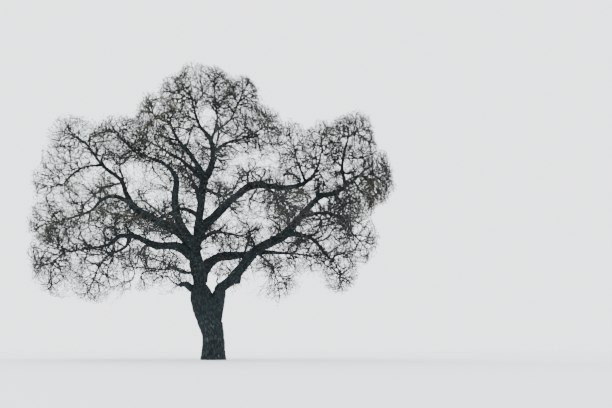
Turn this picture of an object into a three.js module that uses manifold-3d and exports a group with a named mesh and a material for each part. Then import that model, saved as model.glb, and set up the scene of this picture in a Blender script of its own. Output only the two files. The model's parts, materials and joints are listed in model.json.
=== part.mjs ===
// A wide old oak that stands alone in open ground, nearly bare in early spring.
// Millimetres, +Z up, +X to the right as the tree is seen, +Y away from the viewer.
// The origin is the middle of the trunk's flat cut at ground level.
import * as THREE from "three";
import { mergeVertices } from "three/addons/utils/BufferGeometryUtils.js";
import Module from "manifold-3d";

const wasm = await Module();
wasm.setup();

// Where pieces meet: the clear gap, and how much slimmer a mass's stem is than its bough's tip
const GAP = 0.35;
const FLANK_GAP = 0.42;
const STEM_SHRINK = 0.94;

// How finely the solids are faceted
const BOUGH_SIDES = 7;
const THIN_BOUGH_SIDES = 5;
const THIN_BOUGH_GIRTH = 100;
const RINGS_PER_BEND = 2;
const TWIG_SIDES = 3;
const STEM_SIDES = 4;
const STEM_RINGS = 4;
const WELD = 1e-3;

// The root flare: the trunk swells towards the ground and stands on rounded lobes
const FLARE = { swell: 0.16, height: 420, lobes: 5, lobeDepth: 0.07, lobeHeight: 1300, turn: 0.6 };
const BELOW_GROUND = 400;
const GROUND_WIDTH = 4000;

// The spot that the tree is seen from. A bend's place is read across and up on the upright plane
// through the foot, and slid along the line of sight to its own depth.
const EYE = new THREE.Vector3(4650, -30900, 430);
const PARENT_STEPS = 100;

// A mass lies a little further out than its bough's tip, and its stem runs on past its centre
const MASS_OUTWARD = 1.1;
const STEM_STRAIGHT = 0.4;
const STEM_PAST_CENTRE = 0.5;
const STEM_END_GIRTH = 26;
const JOINTS_ALONG_STEM = [0.15, 0.3, 0.45, 0.6, 0.75, 0.9];

// How twigs grow in the space of a mass. Girths are radii.
const TWIGS_PER_MASS = 14;
const TRIES_PER_MASS = 160;
const TWIG = {
  girthPerLength: 0.018, leastGirth: 10, mostOfParent: 0.6, atBend: 0.72,
  leastLength: 260, leastJoint: 11,
};
const TURN_COST = 0.55;
const PATH_COST = 0.22;
const CARRY_ON = 0.2;
const WOBBLE = 0.1;
const SKIN = 0.82;
const OUTERMOST = 0.99;
const HEART = new THREE.Vector3(-500, 0, 7500);
const MOST_INWARD = -0.3;
const SPACE_MARGIN = 0.12;
const LIMB_CLEARANCE = 25;
const CAPSULES_PER_BEND = 3;
const SEED_STEP = 0.37;
const JOINTS_ALONG_TWIG = [0.25, 0.5, 0.72];
const CHECKS_ALONG_TWIG = [0.25, 0.5, 0.75, 1];
const SPREAD = [0.8191725134, 0.6710436067, 0.5497004779];

// The trunk is three tapering lofts fused: the main stem, the prong to the right bough, and a
// broken stub. Each has the girth, as a radius, at its bends, which are places across and up.
const TRUNK_LOFTS = [
  {
    name: "stem", sides: 20, flares: true,
    girth: [560, 540, 585, 610, 650, 560, 440],
    bends: [[0, 0], [-50, 720], [-130, 1470], [-300, 2070], [-530, 2620], [-730, 3180], [-800, 3590]],
  },
  {
    name: "prong", sides: 12,
    girth: [400, 380, 355, 320, 290],
    bends: [[-70, 1220], [30, 1970], [90, 2570], [150, 3080], [210, 3440]],
  },
  {
    name: "stub", sides: 7,
    girth: [190, 165, 135, 110],
    bends: [[-700, 3150], [-1350, 3640], [-1610, 3800], [-1900, 3720]],
  },
];

// The boughs. on: what it grows on. girth: radii evenly spaced along it. back: how far behind the
// foot its tip lies. bends: places across and up, the first moved onto the middle of its parent.
// tuft: the mass that it ends in, with its centre's place across and up, and half its size
// across, deep and up.
const BOUGHS = [
  {
    name: "leader", on: "stem", back: -500,
    girth: [430, 350, 420, 245, 215, 215, 180, 120, 90, 55],
    bends: [[-800, 3590], [-850, 4300], [-1170, 5450], [-1050, 6500], [-1000, 7700], [-900, 9000],
      [-450, 10400], [-600, 11700], [-1270, 12600], [-1660, 13800]],
    tuft: { centre: [-2250, 14300], half: [1300, 1700, 1450] },
  },
  {
    name: "right", on: "prong", back: 0,
    girth: [285, 285, 265, 240, 240, 215, 160, 120, 70],
    bends: [[210, 3440], [660, 3950], [1260, 4580], [2130, 5630], [3440, 6320], [4220, 7190],
      [5290, 8400], [6320, 8730], [7300, 9450]],
    tuft: { centre: [8100, 9450], half: [1400, 2000, 1800] },
  },
  {
    name: "left_low", on: "leader", back: -1200,
    girth: [265, 220, 190, 150, 115, 90, 50],
    bends: [[-1150, 5250], [-2080, 5740], [-3290, 5840], [-4270, 6270], [-5170, 6320],
      [-5820, 5840], [-7630, 5520]],
    tuft: { centre: [-8500, 5000], half: [1300, 2000, 1650] },
  },
  {
    name: "left", on: "leader", back: 600,
    girth: [290, 270, 235, 165, 130, 110, 85, 55],
    bends: [[-1200, 5500], [-1790, 6320], [-2670, 6860], [-4310, 7730], [-5000, 8600],
      [-5350, 9400], [-6380, 10190], [-7120, 11110]],
    tuft: { centre: [-7900, 11750], half: [1700, 2000, 1350] },
  },
  {
    name: "left_stem", on: "leader", back: -1500,
    girth: [265, 240, 205, 180, 150, 105, 60],
    bends: [[-1250, 5700], [-1630, 6320], [-2150, 7200], [-2370, 8300], [-2380, 9500],
      [-3070, 10310], [-4100, 10750]],
    tuft: { centre: [-5400, 11700], half: [1450, 1900, 1450] },
  },
  {
    name: "left_small", on: "leader", back: -3800,
    girth: [100, 75, 42],
    bends: [[-950, 4500], [-1640, 4390], [-2390, 4680], [-2690, 4580]],
    tuft: { centre: [-3900, 4650], half: [1500, 1900, 1300] },
  },
  {
    name: "left_drop", on: "left_low", back: 3200,
    girth: [95, 75, 42],
    bends: [[-4680, 6250], [-4860, 5740], [-5720, 5260], [-6120, 4700]],
    tuft: { centre: [-6350, 4050], half: [1350, 1900, 1250] },
  },
  {
    name: "left_arch", on: "left", back: 1700,
    girth: [115, 105, 85, 68, 48],
    bends: [[-4370, 7750], [-5380, 8450], [-6230, 8340], [-6870, 7680], [-8200, 7200]],
    tuft: { centre: [-8950, 7000], half: [1150, 2000, 1300] },
  },
  {
    name: "left_arm_high", on: "left", back: -1500,
    girth: [60, 50, 36],
    bends: [[-6500, 10250], [-7510, 10080], [-8170, 9510], [-8400, 9250]],
    tuft: { centre: [-8850, 9100], half: [1250, 1900, 1400] },
  },
  {
    name: "left_arm_mid", on: "left", back: -3600,
    girth: [60, 48, 36],
    bends: [[-5230, 9290], [-6120, 9010], [-6700, 8600]],
    tuft: { centre: [-7100, 8150], half: [1300, 1900, 1200] },
  },
  {
    name: "high_left", on: "leader", back: -2400,
    girth: [175, 125, 80, 55],
    bends: [[-870, 9500], [-1510, 10650], [-2380, 11690], [-2700, 12300]],
    tuft: { centre: [-3550, 13000], half: [1350, 1800, 1350] },
  },
  {
    name: "high_left_low", on: "leader", back: 2600,
    girth: [125, 90, 55],
    bends: [[-880, 9300], [-1990, 10420], [-3010, 11050]],
    tuft: { centre: [-3800, 11500], half: [1350, 1900, 1350] },
  },
  {
    name: "top", on: "leader", back: 600,
    girth: [75, 58, 45],
    bends: [[-590, 11600], [-280, 12800], [-370, 13600]],
    tuft: { centre: [-500, 14700], half: [1300, 1700, 1350] },
  },
  {
    name: "top_right", on: "top", back: -900,
    girth: [62, 52, 42],
    bends: [[-420, 12150], [440, 12860], [790, 13700]],
    tuft: { centre: [1050, 14350], half: [1100, 1700, 1200] },
  },
  {
    name: "shoulder", on: "leader", back: 2000,
    girth: [105, 75, 48],
    bends: [[-430, 10940], [310, 11510], [1080, 11750], [1700, 12050]],
    tuft: { centre: [2200, 12350], half: [1300, 1800, 1400] },
  },
  {
    name: "inner_right", on: "leader", back: -4600,
    girth: [100, 75, 48],
    bends: [[-740, 8950], [90, 8510], [630, 8700]],
    tuft: { centre: [950, 9300], half: [1500, 1900, 1100] },
  },
  {
    name: "upper_right", on: "leader", back: 1400,
    girth: [240, 225, 200, 195, 140, 105, 75, 46],
    bends: [[-1000, 6490], [-250, 7350], [790, 8400], [1790, 9120], [3470, 8980], [4540, 9230],
      [5190, 9910], [5470, 10900]],
    tuft: { centre: [5500, 11500], half: [1200, 1800, 1250] },
  },
  {
    name: "upper_right_side", on: "upper_right", back: -2400,
    girth: [62, 50, 38],
    bends: [[4600, 9350], [4160, 10480], [3990, 11250]],
    tuft: { centre: [3850, 11500], half: [1050, 1800, 1350] },
  },
  {
    name: "upper_right_low", on: "upper_right", back: -4200,
    girth: [100, 75, 52],
    bends: [[2280, 9010], [3090, 8560], [3420, 8280]],
    tuft: { centre: [3950, 7850], half: [1300, 1900, 1300] },
  },
  {
    name: "right_up", on: "right", back: -900,
    girth: [100, 78, 52],
    bends: [[6700, 9120], [6620, 10100], [6750, 11000], [6950, 11700]],
    tuft: { centre: [7150, 12000], half: [1500, 2000, 1300] },
  },
  {
    name: "right_arch", on: "right", back: -3200,
    girth: [100, 75, 46],
    bends: [[4380, 7300], [5500, 7570], [6510, 7300], [7000, 6600]],
    tuft: { centre: [7400, 6150], half: [1250, 1900, 1500] },
  },
  {
    name: "right_low", on: "right", back: 2800,
    girth: [125, 100, 68, 48],
    bends: [[3700, 6500], [4910, 6220], [5650, 5370], [6000, 5050]],
    tuft: { centre: [6350, 4550], half: [1200, 1900, 1300] },
  },
  {
    name: "right_droop", on: "right", back: -3300,
    girth: [70, 55, 38],
    bends: [[2030, 5500], [2770, 4830], [2990, 4400]],
    tuft: { centre: [3150, 4000], half: [1300, 1800, 1200] },
  },
  {
    name: "middle", on: "leader", back: 3800,
    girth: [240, 235, 205, 135, 60],
    bends: [[-850, 4370], [-10, 5150], [1090, 5290], [2400, 5450], [3600, 5400]],
    tuft: { centre: [4650, 5300], half: [1400, 1900, 1100] },
  },
  {
    name: "cross", on: "leader", back: 4500,
    girth: [125, 105, 78, 52],
    bends: [[-1050, 7500], [-2080, 7790], [-3210, 7250], [-4300, 7350]],
    tuft: { centre: [-5400, 7500], half: [1500, 1900, 1300] },
  },
  {
    name: "front_left", on: "left_stem", back: -4900,
    girth: [120, 95, 62],
    bends: [[-1700, 6450], [-2400, 7000], [-2900, 7400]],
    tuft: { centre: [-3700, 8000], half: [1700, 1900, 1500] },
  },
  {
    name: "back_low", on: "leader", back: 5000,
    girth: [130, 100, 64],
    bends: [[-1050, 5900], [-300, 6500], [350, 6500]],
    tuft: { centre: [1050, 6350], half: [1600, 1900, 1000] },
  },
  {
    name: "back_high", on: "leader", back: 4900,
    girth: [115, 90, 58],
    bends: [[-1000, 8000], [-1350, 9100], [-1750, 9700]],
    tuft: { centre: [-1900, 10100], half: [1600, 1900, 1500] },
  },
  {
    name: "front_high", on: "leader", back: -4200,
    girth: [100, 78, 52],
    bends: [[-700, 9600], [-500, 10600], [-300, 11300]],
    tuft: { centre: [-200, 11900], half: [1500, 1800, 1200] },
  },
];

// Colours of the finished wood
const BARK = new THREE.MeshStandardMaterial({ color: 0x39342f, roughness: 0.95, metalness: 0 });
const LIMB = new THREE.MeshStandardMaterial({ color: 0x332e2b, roughness: 0.95, metalness: 0 });
const TWIGS = new THREE.MeshStandardMaterial({ color: 0x4a4234, roughness: 0.9, metalness: 0 });

// Places and curves

function scaleAtDepth(depth) {
  return 1 - depth / EYE.y;
}

function slide(across, up, depth) {
  const scale = scaleAtDepth(depth);
  return new THREE.Vector3(EYE.x + (across - EYE.x) * scale, depth, EYE.z + (up - EYE.z) * scale);
}

function asSeen(point) {
  const scale = scaleAtDepth(point.y);
  return new THREE.Vector2(EYE.x + (point.x - EYE.x) / scale, EYE.z + (point.z - EYE.z) / scale);
}

function valueAlong(values, part) {
  const step = Math.min(part, 1) * (values.length - 1);
  const from = Math.min(Math.floor(step), values.length - 2);
  return THREE.MathUtils.lerp(values[from], values[from + 1], step - from);
}

function startOnParent(parent, bend) {
  const seen = new THREE.Vector2(bend[0], bend[1]);
  let best = null;
  for (let step = 0; step <= PARENT_STEPS; step++) {
    const point = parent.curve.getPoint(step / PARENT_STEPS);
    const miss = asSeen(point).distanceTo(seen);
    if (best === null || miss < best.miss) {
      best = { point, miss };
    }
  }
  return best.point;
}

function limbCurve(limb, parent, carriesOn) {
  const last = limb.bends.length - 1;
  const start = parent ? startOnParent(parent, limb.bends[0]) : slide(...limb.bends[0], 0);
  const points = limb.bends.map(([across, up], index) => {
    const depth = THREE.MathUtils.lerp(start.y, limb.back ?? 0, index / last);
    return index === 0 ? start : slide(across, up, depth);
  });
  if (carriesOn) {
    const along = parent.curve.getTangent(1);
    points[0] = parent.curve.getPoint(1).addScaledVector(along, GAP);
    points.splice(1, 0, points[0].clone().addScaledVector(along, limb.girth[0] / 2));
  }
  return new THREE.CatmullRomCurve3(points, false, "catmullrom", 0.5);
}

function limbRadius(limb, part, point) {
  return valueAlong(limb.girth, part) * scaleAtDepth(point.y);
}

// Solids

function toSolid(geometry) {
  geometry.deleteAttribute("normal");
  geometry.deleteAttribute("uv");
  const merged = mergeVertices(geometry, WELD);
  return new wasm.Manifold(new wasm.Mesh({
    numProp: 3,
    vertProperties: new Float32Array(merged.attributes.position.array),
    triVerts: new Uint32Array(merged.index.array),
  }));
}

function toMesh(solid, name, material) {
  const { numProp, vertProperties, triVerts } = solid.getMesh();
  const geometry = new THREE.BufferGeometry();
  const positions = new Float32Array((vertProperties.length / numProp) * 3);
  for (let vertex = 0; vertex < positions.length / 3; vertex++) {
    for (let axis = 0; axis < 3; axis++) {
      positions[vertex * 3 + axis] = vertProperties[vertex * numProp + axis];
    }
  }
  geometry.setAttribute("position", new THREE.BufferAttribute(positions, 3));
  geometry.setIndex(Array.from(triVerts));
  geometry.computeVertexNormals();
  const mesh = new THREE.Mesh(geometry, material);
  mesh.name = name;
  return mesh;
}

function largestPiece(solid) {
  const pieces = solid.decompose();
  pieces.sort((one, other) => other.volume() - one.volume());
  return pieces[0];
}

function evenParts(count) {
  return Array.from({ length: count + 1 }, (_, index) => index / count);
}

// Rings that stand square to a run of points, each turned as little as it can be from the last
function ringFrames(points, directions) {
  let side = new THREE.Vector3(1, 0, 0);
  if (Math.abs(directions[0].x) > 0.8) {
    side = new THREE.Vector3(0, 1, 0);
  }
  return points.map((point, index) => {
    const along = directions[index];
    side = side.clone().addScaledVector(along, -side.dot(along)).normalize();
    return { point, side, across: side.clone().cross(along) };
  });
}

// A unit cylinder or cone bent along the frames, with a radius for each turn and ring
function bentSolid(unit, rings, frames, radiusAt) {
  const spots = unit.attributes.position;
  for (let index = 0; index < spots.count; index++) {
    const ring = Math.round((spots.getY(index) + 0.5) * rings);
    const { point, side, across } = frames[ring];
    const reach = Math.hypot(spots.getX(index), spots.getZ(index));
    const angle = Math.atan2(spots.getZ(index), spots.getX(index));
    const radius = reach > 0 ? radiusAt(ring, angle) : 0;
    const spot = point.clone()
      .addScaledVector(side, radius * Math.cos(angle))
      .addScaledVector(across, radius * Math.sin(angle));
    spots.setXYZ(index, spot.x, spot.y, spot.z);
  }
  return toSolid(unit);
}

function limbSolid(limb, extra = 0) {
  const sides = limb.sides ?? (limb.girth[0] > THIN_BOUGH_GIRTH ? BOUGH_SIDES : THIN_BOUGH_SIDES);
  const rings = RINGS_PER_BEND * (limb.curve.points.length - 1);
  const parts = evenParts(rings);
  const points = parts.map((part) => limb.curve.getPoint(part));
  const frames = ringFrames(points, parts.map((part) => limb.curve.getTangent(part)));
  const radii = parts.map((part, ring) => limbRadius(limb, part, points[ring]));
  const shapeAt = (ring, angle) => (limb.flares ? flareShape(angle, points[ring].z) : 1);
  const unit = new THREE.CylinderGeometry(1, 1, 1, sides, rings);
  return bentSolid(unit, rings, frames, (ring, angle) => radii[ring] * shapeAt(ring, angle) + extra);
}

// The trunk

function flareShape(angle, height) {
  const above = Math.max(height, 0);
  const swell = FLARE.swell * Math.exp(-above / FLARE.height);
  const lobe = FLARE.lobeDepth * Math.exp(-above / FLARE.lobeHeight);
  return 1 + swell + lobe * Math.cos(FLARE.lobes * angle + FLARE.turn);
}

function makeTrunk(lofts) {
  const below = new THREE.BoxGeometry(GROUND_WIDTH, GROUND_WIDTH, GROUND_WIDTH);
  below.translate(0, 0, -GROUND_WIDTH / 2);
  return wasm.Manifold.union(lofts.map((loft) => limbSolid(loft))).subtract(toSolid(below));
}

// Limbs in order of growth: a list of every loft with its curve

function makeLimbs() {
  const limbs = new Map();
  for (const loft of TRUNK_LOFTS) {
    const bends = loft.name === "stem" ? [[0, -BELOW_GROUND], ...loft.bends.slice(1)] : loft.bends;
    const limb = { ...loft, bends, inTrunk: true };
    limb.curve = limbCurve(limb, null, false);
    limbs.set(loft.name, limb);
  }
  for (const bough of BOUGHS) {
    const parent = limbs.get(bough.on);
    const carriesOn = Boolean(parent.inTrunk);
    const limb = { ...bough, parent, carriesOn };
    limb.curve = limbCurve(limb, parent, carriesOn);
    limbs.set(bough.name, limb);
  }
  return limbs;
}

function boughSolid(limb, limbs) {
  const others = [...limbs.values()].filter((other) =>
    other.order < limb.order && !(limb.carriesOn && other === limb.parent));
  const fatter = others.map((other) => limbSolid(other, FLANK_GAP));
  return largestPiece(limbSolid(limb).subtract(wasm.Manifold.union(fatter)));
}

// Spaces of the masses

function makeSpaces(limbs) {
  return BOUGHS.map((bough) => {
    const limb = limbs.get(bough.name);
    const tip = limb.curve.getPoint(1);
    const depth = tip.y * MASS_OUTWARD;
    const scale = scaleAtDepth(depth);
    return {
      limb,
      centre: slide(...bough.tuft.centre, depth),
      half: new THREE.Vector3(...bough.tuft.half).multiplyScalar(scale),
    };
  });
}

function reachIn(space, point) {
  return point.clone().sub(space.centre).divide(space.half).lengthSq();
}

function ownsPoint(space, spaces, point) {
  const own = reachIn(space, point);
  return own <= 1 && spaces.every((other) =>
    other === space || reachIn(other, point) > own + SPACE_MARGIN);
}

function limbCapsules(limbs) {
  const capsules = [];
  for (const limb of limbs.values()) {
    const steps = CAPSULES_PER_BEND * (limb.curve.points.length - 1);
    for (let step = 0; step < steps; step++) {
      const from = limb.curve.getPoint(step / steps);
      const to = limb.curve.getPoint((step + 1) / steps);
      const radius = limbRadius(limb, step / steps, from);
      capsules.push({ line: new THREE.Line3(from, to), radius });
    }
  }
  return capsules;
}

function clearOfLimbs(point, radius, capsules) {
  const nearest = new THREE.Vector3();
  return capsules.every((capsule) => {
    capsule.line.closestPointToPoint(point, true, nearest);
    return nearest.distanceTo(point) > capsule.radius + radius + LIMB_CLEARANCE;
  });
}

// Growth: ends are spread evenly through the space, and each is reached by a twig from the joint
// that it is cheapest to grow from

function evenlySpread(index, seed) {
  return SPREAD.map((step, axis) => (0.5 + (index + 1) * step + seed * SPREAD[(axis + 1) % 3]) % 1);
}

// The first ends are the space's own outermost points, so that the twigs give its outline
function outermostHeadings(space) {
  const up = new THREE.Vector3(0, 0, 1);
  const outward = space.centre.clone().sub(HEART).setZ(0).normalize();
  const sideways = outward.clone().cross(up);
  return [up, outward, sideways, sideways.clone().negate(), up.clone().negate()];
}

function spreadHeading(space, around, height) {
  const angle = 2 * Math.PI * around;
  const rise = 1 - 2 * height;
  const level = Math.sqrt(1 - rise * rise);
  const heading = new THREE.Vector3(Math.cos(angle) * level, Math.sin(angle) * level, rise);
  const outer = space.centre.clone().sub(HEART).normalize();
  return heading.dot(outer) < MOST_INWARD ? heading.negate() : heading;
}

function endInSpace(space, index, seed) {
  const [around, height, outward] = evenlySpread(index, seed);
  const first = outermostHeadings(space)[index];
  const heading = first ?? spreadHeading(space, around, height);
  const reach = first ? OUTERMOST : SKIN + (OUTERMOST - SKIN) * outward;
  return heading.multiplyScalar(reach).multiply(space.half).add(space.centre);
}

function cheapestJoint(joints, end) {
  let best = null;
  for (const joint of joints) {
    const way = end.clone().sub(joint.point);
    const distance = way.length();
    const turn = 1 - way.dot(joint.along) / distance;
    const cost = distance * (1 + TURN_COST * turn) + PATH_COST * joint.path;
    if (best === null || cost < best.cost) {
      best = { joint, cost, distance };
    }
  }
  return best;
}

function twigBetween(joint, end, distance, wobble) {
  const way = end.clone().sub(joint.point).divideScalar(distance);
  const bend = joint.point.clone().lerp(end, 0.5)
    .addScaledVector(joint.along, distance * CARRY_ON)
    .addScaledVector(way, -distance * CARRY_ON)
    .addScaledVector(wobble, distance * WOBBLE);
  const wanted = TWIG.leastGirth + TWIG.girthPerLength * distance;
  return {
    points: [joint.point, bend, end],
    girth: Math.min(wanted, joint.radius * TWIG.mostOfParent),
    path: joint.path,
  };
}

function pointOnTwig(twig, part) {
  const [start, bend, end] = twig.points;
  return part < 0.5 ? start.clone().lerp(bend, part * 2) : bend.clone().lerp(end, part * 2 - 1);
}

function jointsOf(twig) {
  const [start, bend, end] = twig.points;
  return JOINTS_ALONG_TWIG.map((part) => ({
    point: pointOnTwig(twig, part),
    along: (part < 0.5 ? bend.clone().sub(start) : end.clone().sub(bend)).normalize(),
    radius: twig.girth * valueAlong([1, TWIG.atBend, 0], part),
    path: twig.path + part * start.distanceTo(end),
  })).filter((joint) => joint.radius > TWIG.leastJoint);
}

function stemOf(space) {
  const { limb, centre } = space;
  const along = limb.curve.getTangent(1);
  const start = limb.curve.getPoint(1).addScaledVector(along, GAP);
  const length = start.distanceTo(centre);
  const points = [
    start,
    start.clone().addScaledVector(along, length * STEM_STRAIGHT),
    centre.clone(),
    centre.clone().addScaledVector(centre.clone().sub(start), STEM_PAST_CENTRE),
  ];
  const curve = new THREE.CatmullRomCurve3(points, false, "catmullrom", 0.5);
  return { curve, girth: [limbRadius(limb, 1, start) * STEM_SHRINK, STEM_END_GIRTH] };
}

function jointsOfStem(stem) {
  return JOINTS_ALONG_STEM.map((part) => ({
    point: stem.curve.getPoint(part),
    along: stem.curve.getTangent(part),
    radius: valueAlong(stem.girth, part),
    path: 0,
  }));
}

function growTwigs(space, spaces, capsules, seed) {
  const stem = stemOf(space);
  const joints = jointsOfStem(stem);
  const twigs = [];
  for (let index = 0; index < TRIES_PER_MASS && twigs.length < TWIGS_PER_MASS; index++) {
    const end = endInSpace(space, index, seed);
    const { joint, distance } = cheapestJoint(joints, end);
    const lean = evenlySpread(index, seed + 0.5).map((value) => 2 * value - 1);
    const twig = twigBetween(joint, end, distance, new THREE.Vector3(...lean));
    const spots = CHECKS_ALONG_TWIG.map((part) => pointOnTwig(twig, part));
    const fits = spots.every((spot) =>
      ownsPoint(space, spaces, spot) && clearOfLimbs(spot, twig.girth, capsules));
    if (distance > TWIG.leastLength && fits) {
      twigs.push(twig);
      joints.push(...jointsOf(twig));
    }
  }
  return { stem, twigs };
}

function stemSolid(stem) {
  const parts = evenParts(STEM_RINGS);
  const frames = ringFrames(
    parts.map((part) => stem.curve.getPoint(part)),
    parts.map((part) => stem.curve.getTangent(part)),
  );
  const unit = new THREE.CylinderGeometry(1, 1, 1, STEM_SIDES, STEM_RINGS);
  return bentSolid(unit, STEM_RINGS, frames, (ring) => valueAlong(stem.girth, parts[ring]));
}

function twigSolid(twig) {
  const [start, bend, end] = twig.points;
  const first = bend.clone().sub(start).normalize();
  const last = end.clone().sub(bend).normalize();
  const frames = ringFrames([start, bend, end], [first, first.clone().add(last).normalize(), last]);
  const unit = new THREE.ConeGeometry(1, 1, TWIG_SIDES, 2);
  return bentSolid(unit, 2, frames, (ring) => twig.girth * [1, TWIG.atBend, 0][ring]);
}

function tuftSolid({ stem, twigs }) {
  return largestPiece(wasm.Manifold.union([stemSolid(stem), ...twigs.map(twigSolid)]));
}

// The tree

function makeTree() {
  const tree = new THREE.Group();
  const limbs = makeLimbs();
  [...limbs.values()].forEach((limb, order) => {
    limb.order = order;
  });
  const lofts = TRUNK_LOFTS.map((loft) => limbs.get(loft.name));
  tree.add(toMesh(makeTrunk(lofts), "trunk", BARK));
  for (const bough of BOUGHS) {
    tree.add(toMesh(boughSolid(limbs.get(bough.name), limbs), `bough_${bough.name}`, LIMB));
  }
  const spaces = makeSpaces(limbs);
  const capsules = limbCapsules(limbs);
  spaces.forEach((space, order) => {
    const grown = growTwigs(space, spaces, capsules, order * SEED_STEP);
    tree.add(toMesh(tuftSolid(grown), `twigs_${space.limb.name}`, TWIGS));
  });
  return tree;
}

export default makeTree();
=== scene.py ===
"""An old field oak, nearly bare in early spring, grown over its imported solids."""

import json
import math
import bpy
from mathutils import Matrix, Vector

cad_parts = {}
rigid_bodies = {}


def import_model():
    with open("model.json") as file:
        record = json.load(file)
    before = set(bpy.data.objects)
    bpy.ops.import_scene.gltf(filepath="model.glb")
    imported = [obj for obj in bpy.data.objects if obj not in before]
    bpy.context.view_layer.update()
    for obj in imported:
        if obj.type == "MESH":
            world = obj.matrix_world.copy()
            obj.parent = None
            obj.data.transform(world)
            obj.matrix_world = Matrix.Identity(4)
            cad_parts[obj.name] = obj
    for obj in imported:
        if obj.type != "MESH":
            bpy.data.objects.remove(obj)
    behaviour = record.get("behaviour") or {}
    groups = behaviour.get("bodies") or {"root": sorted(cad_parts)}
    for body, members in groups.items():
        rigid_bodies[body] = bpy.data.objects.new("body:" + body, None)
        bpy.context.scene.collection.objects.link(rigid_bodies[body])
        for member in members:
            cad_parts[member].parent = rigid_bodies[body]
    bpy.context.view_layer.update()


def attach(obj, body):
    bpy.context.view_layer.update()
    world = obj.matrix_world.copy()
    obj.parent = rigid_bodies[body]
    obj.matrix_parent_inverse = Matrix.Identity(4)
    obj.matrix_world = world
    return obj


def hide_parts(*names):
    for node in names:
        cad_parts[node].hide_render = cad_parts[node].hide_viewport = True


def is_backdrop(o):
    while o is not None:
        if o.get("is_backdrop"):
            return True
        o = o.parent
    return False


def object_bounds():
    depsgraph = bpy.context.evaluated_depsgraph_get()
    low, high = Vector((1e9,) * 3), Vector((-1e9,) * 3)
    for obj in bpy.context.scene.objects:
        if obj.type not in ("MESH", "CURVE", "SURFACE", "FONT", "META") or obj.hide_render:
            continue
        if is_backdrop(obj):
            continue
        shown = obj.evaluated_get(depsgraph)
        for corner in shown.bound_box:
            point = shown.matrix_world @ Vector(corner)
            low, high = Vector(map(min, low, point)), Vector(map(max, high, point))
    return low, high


bl_info = {
    "name": "Old oak",
    "version": (1, 0, 0),
    "blender": (4, 5, 0),
    "location": "3D View > Sidebar > Oak",
    "description": "Grows the bark, limbs, twigs and young leaves of a wide old oak",
    "category": "Add Mesh",
}

from collections import namedtuple
from functools import lru_cache

import bmesh
import bpy
import numpy as np
from mathutils import Vector, noise

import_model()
MM = 0.001

# The growth rule repeats the part's source, in metres

# The spot that the tree is seen from: bends are placed across and up as seen from it
EYE = np.array((4.65, -30.9, 0.43))
CAMERA_LENS = 35
CAMERA_RISE = 13.88

# Girths are radii in millimetres. Bends are places across and up, in millimetres.
TRUNK_LOFTS = [
    {
        "name": "stem",
        "girth": [560, 540, 585, 610, 650, 560, 440],
        "bends": [(0, 0), (-50, 720), (-130, 1470), (-300, 2070), (-530, 2620), (-730, 3180),
            (-800, 3590)],
    },
    {
        "name": "prong",
        "girth": [400, 380, 355, 320, 290],
        "bends": [(-70, 1220), (30, 1970), (90, 2570), (150, 3080), (210, 3440)],
    },
    {
        "name": "stub",
        "girth": [190, 165, 135, 110],
        "bends": [(-700, 3150), (-1350, 3640), (-1610, 3800), (-1900, 3720)],
    },
]

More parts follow.
